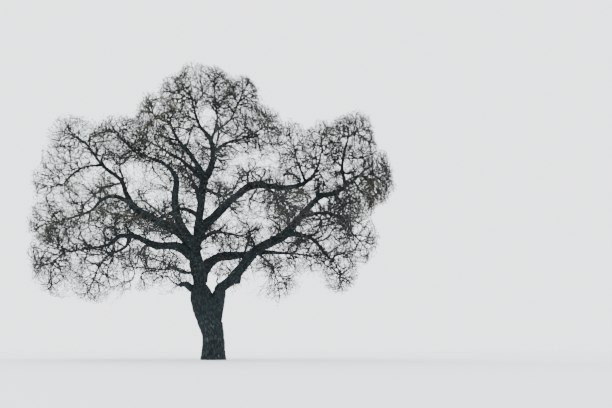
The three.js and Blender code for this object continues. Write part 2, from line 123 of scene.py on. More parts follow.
BOUGHS = [
    {
        "name": "leader", "on": "stem", "back": -500,
        "girth": [430, 350, 420, 245, 215, 215, 180, 120, 90, 55],
        "bends": [(-800, 3590), (-850, 4300), (-1170, 5450), (-1050, 6500), (-1000, 7700),
            (-900, 9000), (-450, 10400), (-600, 11700), (-1270, 12600), (-1660, 13800)],
        "tuft": {"centre": (-2250, 14300), "half": (1300, 1700, 1450)},
    },
    {
        "name": "right", "on": "prong", "back": 0,
        "girth": [285, 285, 265, 240, 240, 215, 160, 120, 70],
        "bends": [(210, 3440), (660, 3950), (1260, 4580), (2130, 5630), (3440, 6320),
            (4220, 7190), (5290, 8400), (6320, 8730), (7300, 9450)],
        "tuft": {"centre": (8100, 9450), "half": (1400, 2000, 1800)},
    },
    {
        "name": "left_low", "on": "leader", "back": -1200,
        "girth": [265, 220, 190, 150, 115, 90, 50],
        "bends": [(-1150, 5250), (-2080, 5740), (-3290, 5840), (-4270, 6270), (-5170, 6320),
            (-5820, 5840), (-7630, 5520)],
        "tuft": {"centre": (-8500, 5000), "half": (1300, 2000, 1650)},
    },
    {
        "name": "left", "on": "leader", "back": 600,
        "girth": [290, 270, 235, 165, 130, 110, 85, 55],
        "bends": [(-1200, 5500), (-1790, 6320), (-2670, 6860), (-4310, 7730), (-5000, 8600),
            (-5350, 9400), (-6380, 10190), (-7120, 11110)],
        "tuft": {"centre": (-7900, 11750), "half": (1700, 2000, 1350)},
    },
    {
        "name": "left_stem", "on": "leader", "back": -1500,
        "girth": [265, 240, 205, 180, 150, 105, 60],
        "bends": [(-1250, 5700), (-1630, 6320), (-2150, 7200), (-2370, 8300), (-2380, 9500),
            (-3070, 10310), (-4100, 10750)],
        "tuft": {"centre": (-5400, 11700), "half": (1450, 1900, 1450)},
    },
    {
        "name": "left_small", "on": "leader", "back": -3800,
        "girth": [100, 75, 42],
        "bends": [(-950, 4500), (-1640, 4390), (-2390, 4680), (-2690, 4580)],
        "tuft": {"centre": (-3900, 4650), "half": (1500, 1900, 1300)},
    },
    {
        "name": "left_drop", "on": "left_low", "back": 3200,
        "girth": [95, 75, 42],
        "bends": [(-4680, 6250), (-4860, 5740), (-5720, 5260), (-6120, 4700)],
        "tuft": {"centre": (-6350, 4050), "half": (1350, 1900, 1250)},
    },
    {
        "name": "left_arch", "on": "left", "back": 1700,
        "girth": [115, 105, 85, 68, 48],
        "bends": [(-4370, 7750), (-5380, 8450), (-6230, 8340), (-6870, 7680), (-8200, 7200)],
        "tuft": {"centre": (-8950, 7000), "half": (1150, 2000, 1300)},
    },
    {
        "name": "left_arm_high", "on": "left", "back": -1500,
        "girth": [60, 50, 36],
        "bends": [(-6500, 10250), (-7510, 10080), (-8170, 9510), (-8400, 9250)],
        "tuft": {"centre": (-8850, 9100), "half": (1250, 1900, 1400)},
    },
    {
        "name": "left_arm_mid", "on": "left", "back": -3600,
        "girth": [60, 48, 36],
        "bends": [(-5230, 9290), (-6120, 9010), (-6700, 8600)],
        "tuft": {"centre": (-7100, 8150), "half": (1300, 1900, 1200)},
    },
    {
        "name": "high_left", "on": "leader", "back": -2400,
        "girth": [175, 125, 80, 55],
        "bends": [(-870, 9500), (-1510, 10650), (-2380, 11690), (-2700, 12300)],
        "tuft": {"centre": (-3550, 13000), "half": (1350, 1800, 1350)},
    },
    {
        "name": "high_left_low", "on": "leader", "back": 2600,
        "girth": [125, 90, 55],
        "bends": [(-880, 9300), (-1990, 10420), (-3010, 11050)],
        "tuft": {"centre": (-3800, 11500), "half": (1350, 1900, 1350)},
    },
    {
        "name": "top", "on": "leader", "back": 600,
        "girth": [75, 58, 45],
        "bends": [(-590, 11600), (-280, 12800), (-370, 13600)],
        "tuft": {"centre": (-500, 14700), "half": (1300, 1700, 1350)},
    },
    {
        "name": "top_right", "on": "top", "back": -900,
        "girth": [62, 52, 42],
        "bends": [(-420, 12150), (440, 12860), (790, 13700)],
        "tuft": {"centre": (1050, 14350), "half": (1100, 1700, 1200)},
    },
    {
        "name": "shoulder", "on": "leader", "back": 2000,
        "girth": [105, 75, 48],
        "bends": [(-430, 10940), (310, 11510), (1080, 11750), (1700, 12050)],
        "tuft": {"centre": (2200, 12350), "half": (1300, 1800, 1400)},
    },
    {
        "name": "inner_right", "on": "leader", "back": -4600,
        "girth": [100, 75, 48],
        "bends": [(-740, 8950), (90, 8510), (630, 8700)],
        "tuft": {"centre": (950, 9300), "half": (1500, 1900, 1100)},
    },
    {
        "name": "upper_right", "on": "leader", "back": 1400,
        "girth": [240, 225, 200, 195, 140, 105, 75, 46],
        "bends": [(-1000, 6490), (-250, 7350), (790, 8400), (1790, 9120), (3470, 8980),
            (4540, 9230), (5190, 9910), (5470, 10900)],
        "tuft": {"centre": (5500, 11500), "half": (1200, 1800, 1250)},
    },
    {
        "name": "upper_right_side", "on": "upper_right", "back": -2400,
        "girth": [62, 50, 38],
        "bends": [(4600, 9350), (4160, 10480), (3990, 11250)],
        "tuft": {"centre": (3850, 11500), "half": (1050, 1800, 1350)},
    },
    {
        "name": "upper_right_low", "on": "upper_right", "back": -4200,
        "girth": [100, 75, 52],
        "bends": [(2280, 9010), (3090, 8560), (3420, 8280)],
        "tuft": {"centre": (3950, 7850), "half": (1300, 1900, 1300)},
    },
    {
        "name": "right_up", "on": "right", "back": -900,
        "girth": [100, 78, 52],
        "bends": [(6700, 9120), (6620, 10100), (6750, 11000), (6950, 11700)],
        "tuft": {"centre": (7150, 12000), "half": (1500, 2000, 1300)},
    },
    {
        "name": "right_arch", "on": "right", "back": -3200,
        "girth": [100, 75, 46],
        "bends": [(4380, 7300), (5500, 7570), (6510, 7300), (7000, 6600)],
        "tuft": {"centre": (7400, 6150), "half": (1250, 1900, 1500)},
    },
    {
        "name": "right_low", "on": "right", "back": 2800,
        "girth": [125, 100, 68, 48],
        "bends": [(3700, 6500), (4910, 6220), (5650, 5370), (6000, 5050)],
        "tuft": {"centre": (6350, 4550), "half": (1200, 1900, 1300)},
    },
    {
        "name": "right_droop", "on": "right", "back": -3300,
        "girth": [70, 55, 38],
        "bends": [(2030, 5500), (2770, 4830), (2990, 4400)],
        "tuft": {"centre": (3150, 4000), "half": (1300, 1800, 1200)},
    },
    {
        "name": "middle", "on": "leader", "back": 3800,
        "girth": [240, 235, 205, 135, 60],
        "bends": [(-850, 4370), (-10, 5150), (1090, 5290), (2400, 5450), (3600, 5400)],
        "tuft": {"centre": (4650, 5300), "half": (1400, 1900, 1100)},
    },
    {
        "name": "cross", "on": "leader", "back": 4500,
        "girth": [125, 105, 78, 52],
        "bends": [(-1050, 7500), (-2080, 7790), (-3210, 7250), (-4300, 7350)],
        "tuft": {"centre": (-5400, 7500), "half": (1500, 1900, 1300)},
    },
    {
        "name": "front_left", "on": "left_stem", "back": -4900,
        "girth": [120, 95, 62],
        "bends": [(-1700, 6450), (-2400, 7000), (-2900, 7400)],
        "tuft": {"centre": (-3700, 8000), "half": (1700, 1900, 1500)},
    },
    {
        "name": "back_low", "on": "leader", "back": 5000,
        "girth": [130, 100, 64],
        "bends": [(-1050, 5900), (-300, 6500), (350, 6500)],
        "tuft": {"centre": (1050, 6350), "half": (1600, 1900, 1000)},
    },
    {
        "name": "back_high", "on": "leader", "back": 4900,
        "girth": [115, 90, 58],
        "bends": [(-1000, 8000), (-1350, 9100), (-1750, 9700)],
        "tuft": {"centre": (-1900, 10100), "half": (1600, 1900, 1500)},
    },
    {
        "name": "front_high", "on": "leader", "back": -4200,
        "girth": [100, 78, 52],
        "bends": [(-700, 9600), (-500, 10600), (-300, 11300)],
        "tuft": {"centre": (-200, 11900), "half": (1500, 1800, 1200)},
    },
]

# How deep the stem's loft is rooted, how a bough starts on what carries it, and the root flare
BELOW_GROUND = 400
CARRY_ON_GAP = 0.00035
PARENT_STEPS = 100
LENGTH_SAMPLES = 60
FLARE = {
    "swell": 0.16, "height": 0.42, "lobes": 5, "lobe_depth": 0.07, "lobe_height": 1.3, "turn": 0.6,
}

# How a mass lies on its bough, and how its stem runs through it
MASS_OUTWARD = 1.1
STEM_STRAIGHT = 0.4
STEM_PAST_CENTRE = 0.5
STEM_SHRINK = 0.94
STEM_END_GIRTH = 0.026
JOINTS_ALONG_STEM = (0.15, 0.3, 0.45, 0.6, 0.75, 0.9)

# Where the ends of a mass's first twigs lie
FIRST_TWIGS = 14
FIRST_TRIES = 160
SKIN = 0.82
OUTERMOST = 0.99
HEART = np.array((-0.5, 0.0, 7.5))
MOST_INWARD = -0.3
SEED_STEP = 0.37
SPREAD = np.array((0.8191725134, 0.6710436067, 0.5497004779))

# What it costs to reach an end from a joint, and how a twig's joints, girth and bend follow
TURN_COST = 0.55
PATH_COST = 0.22
JOINTS_ALONG_TWIG = (0.25, 0.5, 0.72, 1.0)
GIRTH_PER_LENGTH = 0.018
LEAST_GIRTH = 0.010
MOST_OF_PARENT = 0.6
AT_BEND = 0.72
CARRY_ON = 0.2
WOBBLE = 0.1
LEAST_LENGTH = 0.26
LEAST_JOINT = 0.011
THINNEST_JOINT = 0.003

# How a first twig keeps to its space and clear of the limbs
CHECKED_PARTS = (0.25, 0.5, 0.75, 1.0)
SPACE_MARGIN = 0.12
LIMB_CLEARANCE = 0.025
CAPSULES_PER_BEND = 3
POINTS_AT_ONCE = 2000

# The sides that the crown is joined by, and where they part: in height, from left to right, or
# from front to back
SIDES = ("top_left", "top_right", "front", "back", "left", "right", "right_low")
PARTING = {
    "top": 10.9, "top_left": -1.5, "front": -2.6, "back": 2.4, "left": -2.0, "right_low": 7.2,
}

# Where the finer twigs' ends lie: how the crown fades at its edge and thins out inside, how much of
# the boughs it leaves in sight, and how many places are tried in a cubic metre
FADE = 2.2
CLOUD_FADES = 1.6
CROWN_EDGE = 0.12
CROWN_REACH = 0.96
CROWN_FOOT = 0.17
SKIN_DEPTH = 0.27
HEART_SHARE = 0.24
BOUGH_REACH = 1.0
BOUGH_SHARE = 0.14
BOUGH_DENSITY = 1.0
BOUGH_STEP = 0.4
BOUGH_START = 0.22
SHOWN_SHARE = 0.8
SHOWN_MARGIN = 0.06
FINE_CLEARANCE = 0.012
MOST_DENSE = 3.2
SPOTS_PER_CUBE = 480
LUCK_STEP = 0.6180339887

# How the finer twigs grow on from the first ones and from joints on the limbs
FINE_SEED = 7.3
FINE_WOBBLE = 0.18
FINE_REACH = 0.3
SHORTEST = 0.07
LONGEST = 2.6
HANG_BELOW = 7.0
SAG = 0.1
ROOT_STEP = 0.25
FEWEST_ROOTS = 4
LAST_ROOT = 0.98
ROOT_SHARE = 0.6

# Slow bends that neighbouring twigs share: a wave's course, the way it pushes, and its turn
SWAYS = (
    ((2.1, 1.3, 2.2), (0.10, 0.02, -0.08), 0.3),
    ((-2.6, 2.2, 2.9), (0.07, 0.05, 0.09), 1.9),
    ((4.7, -2.9, 4.2), (-0.05, 0.06, 0.05), 4.1),
    ((-6.5, 5.1, 7.3), (0.035, 0.03, -0.04), 2.2),
)
SWAY_FREE = 0.5

# Sky that shows through the crown, as ellipses as seen: across, up, half across, half up, and the
# share of the twigs that stay out of it, which falls off over a soft edge
SOFT_EDGE = 1.7
OPENINGS = (
    (-0.82, 13.25, 0.50, 0.45, 1.0),
    (2.44, 10.76, 0.80, 0.70, 0.3),
    (-0.11, 3.72, 0.40, 0.55, 0.9),
    (1.98, 3.77, 0.70, 0.75, 0.7),
    (-4.29, 4.26, 0.42, 0.83, 0.6),
    (-2.59, 4.16, 0.44, 0.78, 0.4),
    (4.96, 4.13, 0.78, 0.70, 0.7),
    (-4.68, 8.73, 0.50, 0.60, 0.5),
)

# Twigs: how many tips each grade feeds, where its rings lie along it, and its sides
TWIG_KNOTS = (0, *JOINTS_ALONG_TWIG)
TWIG_GRADES = (
    (0, 1.5, (0, 1.0), 3),
    (1.5, 10, (0, 0.5, 1.0), 3),
    (10, 45, TWIG_KNOTS, 4),
    (45, 1e9, (0, 0.12, 0.25, 0.37, 0.5, 0.61, 0.72, 0.86, 1.0), 6),
)
CROOK = 0.055
THICKENING = 0.49
THINNEST_TIP = 0.8
MOST_OF_CARRIER = 0.9
SPIKE_FOOT = 1.35
SPRAY_TIPS = 14
YOUNG_GIRTH = 0.010
MASS_STEM_RINGS = 15
MASS_STEM_SIDES = 8

# Limbs: how finely they are sampled, where they count as stout, and how they swell at a fork
AXIS_STEP = 0.07
FEWEST_ROWS = 6
OVERLAP_ROWS = 4
NEARLY_ALONG = 0.8
STOUT = 0.075
COLLAR = 0.42
COLLAR_LENGTH = 1.1
COLLAR_SAMPLES = 41
TRUNK_SIDES = 48
STOUT_SIDES = 28
THIN_SIDES = 12

# The broken knob under the right bough: its bends across and up as seen, and its girth
KNOB_BENDS = ((0.72, 4.22), (0.93, 4.12), (1.10, 4.07), (1.24, 4.05))
KNOB_GIRTH = (0.29, 0.29, 0.25, 0.20)
KNOB_SIDES = 16

# Skins: where the trunk's and the boughs' part, and how their grid is smoothed away
SEAM_HEIGHT = 3.9
SEAM_OVERLAP = 0.5
TRUNK_ROUNDS = 5
BOUGH_ROUNDS = 3
SMOOTH_IN = 0.6
SMOOTH_BACK = -0.52

# Bark: how many plates go into a metre and how deep its cracks are, on thin limbs and stout ones
PLATE_SCALES = ((0.05, 0.5), (15.0, 11.0))
DEPTH_SHARES = ((0.03, 0.12, 0.5), (0.12, 0.45, 1.0))
PLATE_STRETCH = 0.3
CRACK_WIDTH = 0.45
PLATE_LEVEL = 0.6
LIMB_SHIFT = 3.7
SAMPLES_AT_ONCE = 4000

# Patterns in the bark: how fine each is across the grain and along it, and its shift along it
WANDER = (3, 1.3, 0)
ROUGHNESS = (9, 4, 0)
LUMPS = (1.7, 0.9, 5)
FLUTES = (2.6, 0.35, 40)
BURRS = (2.2, 1.1, 9)

# How much each pattern does, and how wide a burr is
WANDER_SIZE = 0.07
ROUGH_SIZE = 0.35
LUMP_SIZE = 0.9
FLUTE_SIZE = 1.1
RIDGE_BASE = 0.8
RIDGE_ROUGH = 0.4
GNARL = 0.22
BURR = 0.35
BURR_WIDTH = 0.4
MOST_GNARLED = 0.3

# Young leaves: along, across and up from the midrib, for a length of one, and how they scatter
LEAF_OUTLINE = ((0, 0, 0), (0.62, -0.3, 0.07), (1.0, 0, -0.05), (0.62, 0.3, 0.07))
LEAF_FACES = ((0, 2, 1), (0, 3, 2))
LEAF_SEED = 40
LEAF_SCATTER = 0.75
LEAF_SIZES = (0.65, 1.3)
LEAF_PLACES = (0.03, 0.97)
LEAF_GATHER = 1.5
LEAFY_LENGTH = 0.2
MOST_LEAVES = 4

# Tints of the leaves: the share of each, how much more of it there is in a warm place, and the
# warm places: across and up as seen, reach and strength
TINT_SHARES = (0.21, 0.07, 0.15, 0.57)
TINT_WARMTH = (1.9, 3.2, 0.9, 0.4)
WARM_PLACES = (
    (7.7, 8.7, 0.9, 2.0),
    (6.0, 12.2, 0.9, 1.5),
    (1.5, 13.3, 1.2, 1.3),
    (-1.5, 14.6, 2.2, 1.0),
    (-4.0, 12.5, 2.2, 1.2),
    (-9.0, 8.0, 3.4, 0.9),
)

# The most triangles that a joined piece may have, the shine of each finish, how high up lichen
# grows, the camera's reach, and the soft sun's width in degrees, colour and course
MOST_TRIANGLES = 199000
BARK_SHINE = 0.16
LEAF_SHINE = 0.3
FLOOR_SHINE = 0.3
LICHEN_ON_TRUNK = 3.2
LICHEN_ON_BOUGHS = 5.0
SENSOR_WIDTH = 36
CAMERA_REACH = 2000
SUN_WIDTH = 25
SUN_COLOUR = (1.0, 0.97, 0.92)
SUN_COURSE = (0.45, -0.7, -0.75)

# How dense the crown is round the middle of each mass
DENSITY = {
    "leader": 2.6, "right": 3.2, "left_low": 1.7, "left": 1.1, "left_stem": 2.1,
    "left_small": 0.98, "left_drop": 0.66, "left_arch": 1.3, "left_arm_high": 1.2,
    "left_arm_mid": 1.1, "high_left": 2.4, "high_left_low": 1.2, "top": 2.45,
    "top_right": 2.4, "shoulder": 2.05, "inner_right": 0.66, "upper_right": 1.6,
    "upper_right_side": 1.45, "upper_right_low": 2.15, "right_up": 2.2, "right_arch": 1.15,
    "right_low": 1.3, "right_droop": 0.68, "middle": 1.22, "cross": 1.25, "front_left": 0.8,
    "back_low": 0.6, "back_high": 0.36, "front_high": 0.82,
}

# Thickets that fill the crown between the masses: place across and up as seen, how far back,
# half size across, deep and up, and how dense
THICKETS = {
    "over_right": (4.6, 9.4, 0.8, 2.3, 2.3, 0.8, 2.25),
    "under_arch": (1.5, 8.2, -0.6, 0.9, 1.9, 0.7, 1.35),
    "over_upper_right": (2.3, 10.5, 0.4, 1.0, 2.0, 0.8, 0.68),
    "under_upper_right": (2.2, 7.3, 0.4, 1.3, 2.2, 0.7, 1.2),
    "right_elbow": (6.9, 8.1, 0.0, 1.2, 2.8, 1.1, 2.4),
    "under_right": (4.5, 6.9, -0.1, 1.6, 2.1, 0.8, 3.0),
    "under_prong": (3.8, 6.0, 0.6, 0.9, 1.6, 0.6, 1.35),
    "right_root": (6.2, 6.1, 1.2, 1.2, 2.2, 0.8, 0.98),
    "right_top_root": (7.1, 10.2, -0.4, 0.9, 2.1, 0.8, 1.9),
    "shoulder_root": (1.3, 13.1, 0.5, 0.9, 1.8, 0.8, 3.0),
    "shoulder_foot": (2.4, 12.0, 0.2, 0.8, 1.9, 0.7, 1.05),
    "top_gap": (-1.4, 15.3, 0.0, 0.9, 1.8, 0.6, 2.4),
    "high_left_root": (-2.3, 12.2, -1.2, 1.1, 2.0, 0.8, 1.9),
    "left_top_root": (-5.8, 11.3, 0.3, 0.9, 2.1, 0.7, 1.3),
    "left_shoulder": (-8.6, 10.5, -0.6, 0.8, 2.3, 0.8, 1.05),
    "left_hollow": (-7.3, 6.4, 0.4, 1.6, 2.8, 0.9, 1.12),
    "left_middle": (-4.2, 6.9, 0.2, 1.4, 2.5, 0.7, 1.5),
    "left_upper": (-3.6, 9.6, -1.0, 0.8, 2.2, 0.6, 1.0),
    "beside_leader": (0.9, 10.3, 0.3, 0.7, 1.9, 0.6, 1.05),
    "left_low_under": (-3.4, 5.1, -1.0, 1.6, 2.3, 0.8, 1.05),
    "left_heart": (-3.0, 6.5, -0.5, 1.3, 2.5, 0.6, 0.98),
    "low_root": (-2.8, 5.4, -0.4, 1.0, 1.4, 0.5, 1.6),
    "fork_gap": (0.3, 4.7, 0.4, 0.6, 1.2, 0.6, 2.6),
    "over_cross": (1.0, 6.0, -0.2, 1.1, 1.9, 0.5, 0.8),
    "hanging_left": (-6.2, 3.5, 0.3, 1.9, 2.5, 0.7, 0.22),
    "hanging_middle": (-2.3, 4.0, -0.6, 1.2, 2.2, 0.7, 0.34),
    "hanging_right": (2.8, 3.6, -1.5, 1.4, 2.2, 0.7, 0.3),
}


# Places and curves

def unit(ways):
    return ways / np.maximum(np.linalg.norm(ways, axis=-1, keepdims=True), 1e-9)


def scale_at_depth(depth):
    """How much larger a thing has to be at a depth to look as large as it would at the trunk."""
    return 1 - depth / EYE[1]


def slide(across, up, depth):
    """The point at a depth that is seen across and up, from the spot that the tree is seen from."""
    scale = scale_at_depth(depth)
    return np.array((EYE[0] + (across - EYE[0]) * scale, depth, EYE[2] + (up - EYE[2]) * scale))


def as_seen(points):
    """How far across and up points are seen, on the upright plane through the trunk's foot."""
    scale = scale_at_depth(points[:, 1:2])
    return EYE[[0, 2]] + (points[:, [0, 2]] - EYE[[0, 2]]) / scale


def value_along(values, parts):
    """Values set evenly along a limb or a twig, read at any parts of it."""
    return np.interp(parts, np.linspace(0, 1, len(values)), values)


class Curve:
    """A uniform Catmull-Rom curve whose parts run from 0 at its start to 1 at its end."""

    def __init__(self, points):
        self.points = np.array(points, float)
        before = 2 * self.points[0] - self.points[1]
        after = 2 * self.points[-1] - self.points[-2]
        self.framed = np.vstack([before, self.points, after])

    def at(self, parts):
        spans = len(self.points) - 1
        place = np.clip(np.atleast_1d(parts), 0, 1) * spans
        span = np.minimum(place.astype(int), spans - 1)
        rest = (place - span)[:, None]
        before, start, end, after = (self.framed[span + step] for step in range(4))
        lead = (end - before) / 2
        trail = (after - start) / 2
        square = 3 * (end - start) - 2 * lead - trail
        cube = 2 * (start - end) + lead + trail
        return start + lead * rest + square * rest ** 2 + cube * rest ** 3

    def along(self, parts):
        parts = np.atleast_1d(parts)
        return unit(self.at(np.minimum(parts + 1e-4, 1)) - self.at(np.maximum(parts - 1e-4, 0)))


class Limb:
    """A loft of the trunk or a bough: a curve with a radius at every part of it."""

    def __init__(self, name, girth, curve, parent=None, in_trunk=False):
        self.name = name
        self.girth = np.array(girth) * MM
        self.curve = curve
        self.parent = parent
        self.in_trunk = in_trunk

    def radius(self, parts):
        parts = np.atleast_1d(parts)
        return value_along(self.girth, parts) * scale_at_depth(self.curve.at(parts)[:, 1])

    def length(self):
        points = self.curve.at(np.linspace(0, 1, LENGTH_SAMPLES))
        return np.linalg.norm(np.diff(points, axis=0), axis=1).sum()


def start_on_parent(parent, bend):
    """The point on a limb's middle line that is seen nearest to the first bend of a bough on it."""
    points = parent.curve.at(np.arange(PARENT_STEPS + 1) / PARENT_STEPS)
    miss = np.linalg.norm(as_seen(points) - np.array(bend) * MM, axis=1)
    return points[np.argmin(miss)]


def limb_curve(bends, girth, back, parent):
    """A limb's middle line, which goes evenly back. A bough on the trunk carries its loft on."""
    start = start_on_parent(parent, bends[0]) if parent else slide(*np.array(bends[0]) * MM, 0)
    points = [start]
    for index, bend in enumerate(bends[1:], 1):
        depth = start[1] + (back * MM - start[1]) * index / (len(bends) - 1)
        points.append(slide(*np.array(bend) * MM, depth))
    if parent and parent.in_trunk:
        along = parent.curve.along(1)[0]
        points[0] = parent.curve.at(1)[0] + along * CARRY_ON_GAP
        points.insert(1, points[0] + along * girth[0] * MM / 2)
    return Curve(points)


@lru_cache(maxsize=None)
def grow_limbs():
    """The trunk's lofts and the boughs, by name."""
    limbs = {}
    for loft in TRUNK_LOFTS:
        bends = list(loft["bends"])
        if loft["name"] == "stem":
            bends[0] = (0, -BELOW_GROUND)
        curve = limb_curve(bends, loft["girth"], 0, None)
        limbs[loft["name"]] = Limb(loft["name"], loft["girth"], curve, None, True)
    for bough in BOUGHS:
        parent = limbs[bough["on"]]
        curve = limb_curve(bough["bends"], bough["girth"], bough["back"], parent)
        limbs[bough["name"]] = Limb(bough["name"], bough["girth"], curve, parent)
    return limbs


# The spaces of the masses, and what stands in them

Space = namedtuple("Space", "limb centre half")


@lru_cache(maxsize=None)
def mass_spaces():
    """The space of the mass at each bough's end, a little further out than the end in depth."""
    spaces = []
    for bough in BOUGHS:
        limb = grow_limbs()[bough["name"]]
        depth = limb.curve.at(1)[0][1] * MASS_OUTWARD
        centre = slide(*np.array(bough["tuft"]["centre"]) * MM, depth)
        half = np.array(bough["tuft"]["half"]) * MM * scale_at_depth(depth)
        spaces.append(Space(limb, centre, half))
    return spaces


@lru_cache(maxsize=None)
def space_arrays():
    """The middles of the masses' spaces, and their half sizes."""
    spaces = mass_spaces()
    return np.array([space.centre for space in spaces]), np.array([space.half for space in spaces])


def owned(order, points):
    """Which points lie in a mass's own space and nearer to its middle than to any other's."""
    centres, halves = space_arrays()
    reach = (((points[:, None] - centres) / halves) ** 2).sum(axis=2)
    own = reach[:, order].copy()
    reach[:, order] = np.inf
    return (own <= 1) & (reach.min(axis=1) > own + SPACE_MARGIN)


@lru_cache(maxsize=None)
def limb_capsules():
    """Straight lines along every limb, with its radius at the start of each."""
    starts, ends, radii = [], [], []
    for limb in grow_limbs().values():
        steps = CAPSULES_PER_BEND * (len(limb.curve.points) - 1)
        parts = np.arange(steps + 1) / steps
        points = limb.curve.at(parts)
        starts.append(points[:-1])
        ends.append(points[1:])
        radii.append(limb.radius(parts[:-1]))
    return np.vstack(starts), np.vstack(ends), np.concatenate(radii)


def gaps_to_lines(points, starts, ends):
    """How far points are from straight lines, in two or three dimensions. They are taken a few at a
    time to save memory: which ones, and their gaps to all the lines."""
    ways = ends - starts
    lengths = (ways ** 2).sum(axis=1)
    for first in range(0, len(points), POINTS_AT_ONCE):
        rows = slice(first, first + POINTS_AT_ONCE)
        away = points[rows, None] - starts
        parts = np.clip((away * ways).sum(axis=2) / lengths, 0, 1)
        yield rows, np.linalg.norm(away - ways * parts[..., None], axis=2)


def clear_of_limbs(points, radius):
    """Which points keep clear of every limb."""
    starts, ends, radii = limb_capsules()
    clear = np.ones(len(points), bool)
    for rows, gaps in gaps_to_lines(points, starts, ends):
        clear[rows] = (gaps > radii + radius).all(axis=1)
    return clear


def before_boughs(points):
    """The greater share of the points that would hide a stout limb from the front."""
    starts, ends, radii = limb_capsules()
    stout = radii > STOUT
    starts, ends, radii = starts[stout], ends[stout], radii[stout]
    before = np.zeros(len(points), bool)
    for rows, gaps in gaps_to_lines(as_seen(points), as_seen(starts), as_seen(ends)):
        nearer = points[rows, 1:2] < starts[:, 1]
        before[rows] = ((gaps < radii + SHOWN_MARGIN) & nearer).any(axis=1)
    return before & ((np.arange(len(points)) * SPREAD[1]) % 1 < SHOWN_SHARE)


def under_open_sky(points):
    """Which points lie where the crown lets the sky through, as seen from the front."""
    seen = as_seen(points)
    turn = (np.arange(len(points)) * SPREAD[0]) % 1
    inside = np.zeros(len(points), bool)
    for across, up, half_across, half_up, share in OPENINGS:
        miss = ((seen - (across, up)) / (half_across, half_up)) ** 2
        inside |= turn < share * np.clip(SOFT_EDGE * (1 - miss.sum(axis=1)), 0, 1)
    return inside


# Growth: ends are spread evenly through a space, and each is reached by a twig from the joint that
# it is cheapest to grow from

def evenly_spread(indices, seed):
    """Three numbers from 0 to 1 for each index, which fill a cube evenly as the indices go on."""
    steps = (indices[:, None] + 1) * SPREAD
    return (0.5 + steps + seed * SPREAD[[1, 2, 0]]) % 1


def outermost_headings(space):
    """Up, outward, to both sides and down, so that a mass's twigs reach as far as it does."""
    up = np.array((0.0, 0.0, 1.0))
    outward = unit((space.centre - HEART) * (1, 1, 0))
    sideways = np.cross(outward, up)
    return np.array((up, outward, sideways, -sideways, -up))


def spread_headings(space, spread):
    """Headings all round a mass, turned about where they point too far into the crown."""
    angle = 2 * np.pi * spread[:, 0]
    rise = 1 - 2 * spread[:, 1]
    level = np.sqrt(1 - rise ** 2)
    heading = np.stack([np.cos(angle) * level, np.sin(angle) * level, rise], axis=1)
    inward = heading @ unit(space.centre - HEART) < MOST_INWARD
    heading[inward] *= -1
    return heading


def first_ends(space, seed):
    """Where a mass's first twigs end: its outermost points first, then spots in its skin."""
    spread = evenly_spread(np.arange(FIRST_TRIES), seed)
    heading = spread_headings(space, spread)
    reach = SKIN + (OUTERMOST - SKIN) * spread[:, 2]
    outermost = outermost_headings(space)
    heading[:len(outermost)] = outermost
    reach[:len(outermost)] = OUTERMOST
    return space.centre + heading * reach[:, None] * space.half


def crown_clouds():
    """All that the crown gathers round: middles, half sizes, shares and densities."""
    clouds = []
    for space in mass_spaces():
        clouds.append((space.centre, space.half * CROWN_REACH, 1.0, DENSITY[space.limb.name]))
        limb = space.limb
        count = max(2, int(limb.length() / BOUGH_STEP))
        for place in limb.curve.at(np.linspace(BOUGH_START, 1, count)):
            clouds.append((place, np.full(3, BOUGH_REACH), BOUGH_SHARE, BOUGH_DENSITY))
    for across, up, back, *half, density in THICKETS.values():
        centre = slide(across, up, back)
        clouds.append((centre, np.array(half) * scale_at_depth(back), 1.0, density))
    return clouds


def crown_fill(points):
    """How deep in the crown points lie, from nothing outside it, and how dense it is there. The
    points come in order from left to right, so that each cloud is weighed against those near it."""
    fill = np.zeros(len(points))
    density = np.zeros(len(points))
    for centre, half, share, its_density in crown_clouds():
        span = centre[0] + half[0] * CLOUD_FADES * np.array((-1, 1))
        near = slice(*np.searchsorted(points[:, 0], span))
        reach = (((points[near] - centre) / half) ** 2).sum(axis=1)
        part = share * np.exp(-FADE * reach)
        fill[near] += part
        density[near] += part * its_density
    return fill, density / np.maximum(fill, 1e-9)


def crown_ends(count):
    """Ends of fine twigs through the whole crown, most of them in its skin, few in open sky."""
    lowest, highest = np.array(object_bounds())
    room = (highest - lowest) * (1, 1, 1 - CROWN_FOOT)
    lowest = highest - room
    spots = evenly_spread(np.arange(int(room.prod() * SPOTS_PER_CUBE)), FINE_SEED)
    points = lowest + spots * room
    order = np.argsort(points[:, 0])
    fill, density = crown_fill(points[order])
    skin = np.exp(-(fill - CROWN_EDGE) / SKIN_DEPTH)
    luck = (order * LUCK_STEP) % 1
    chosen = luck * MOST_DENSE < density * (HEART_SHARE + (1 - HEART_SHARE) * skin)
    points = points[np.sort(order[chosen & (fill > CROWN_EDGE)])]
    hidden = under_open_sky(points) | before_boughs(points)
    return points[clear_of_limbs(points, FINE_CLEARANCE) & ~hidden][:count]


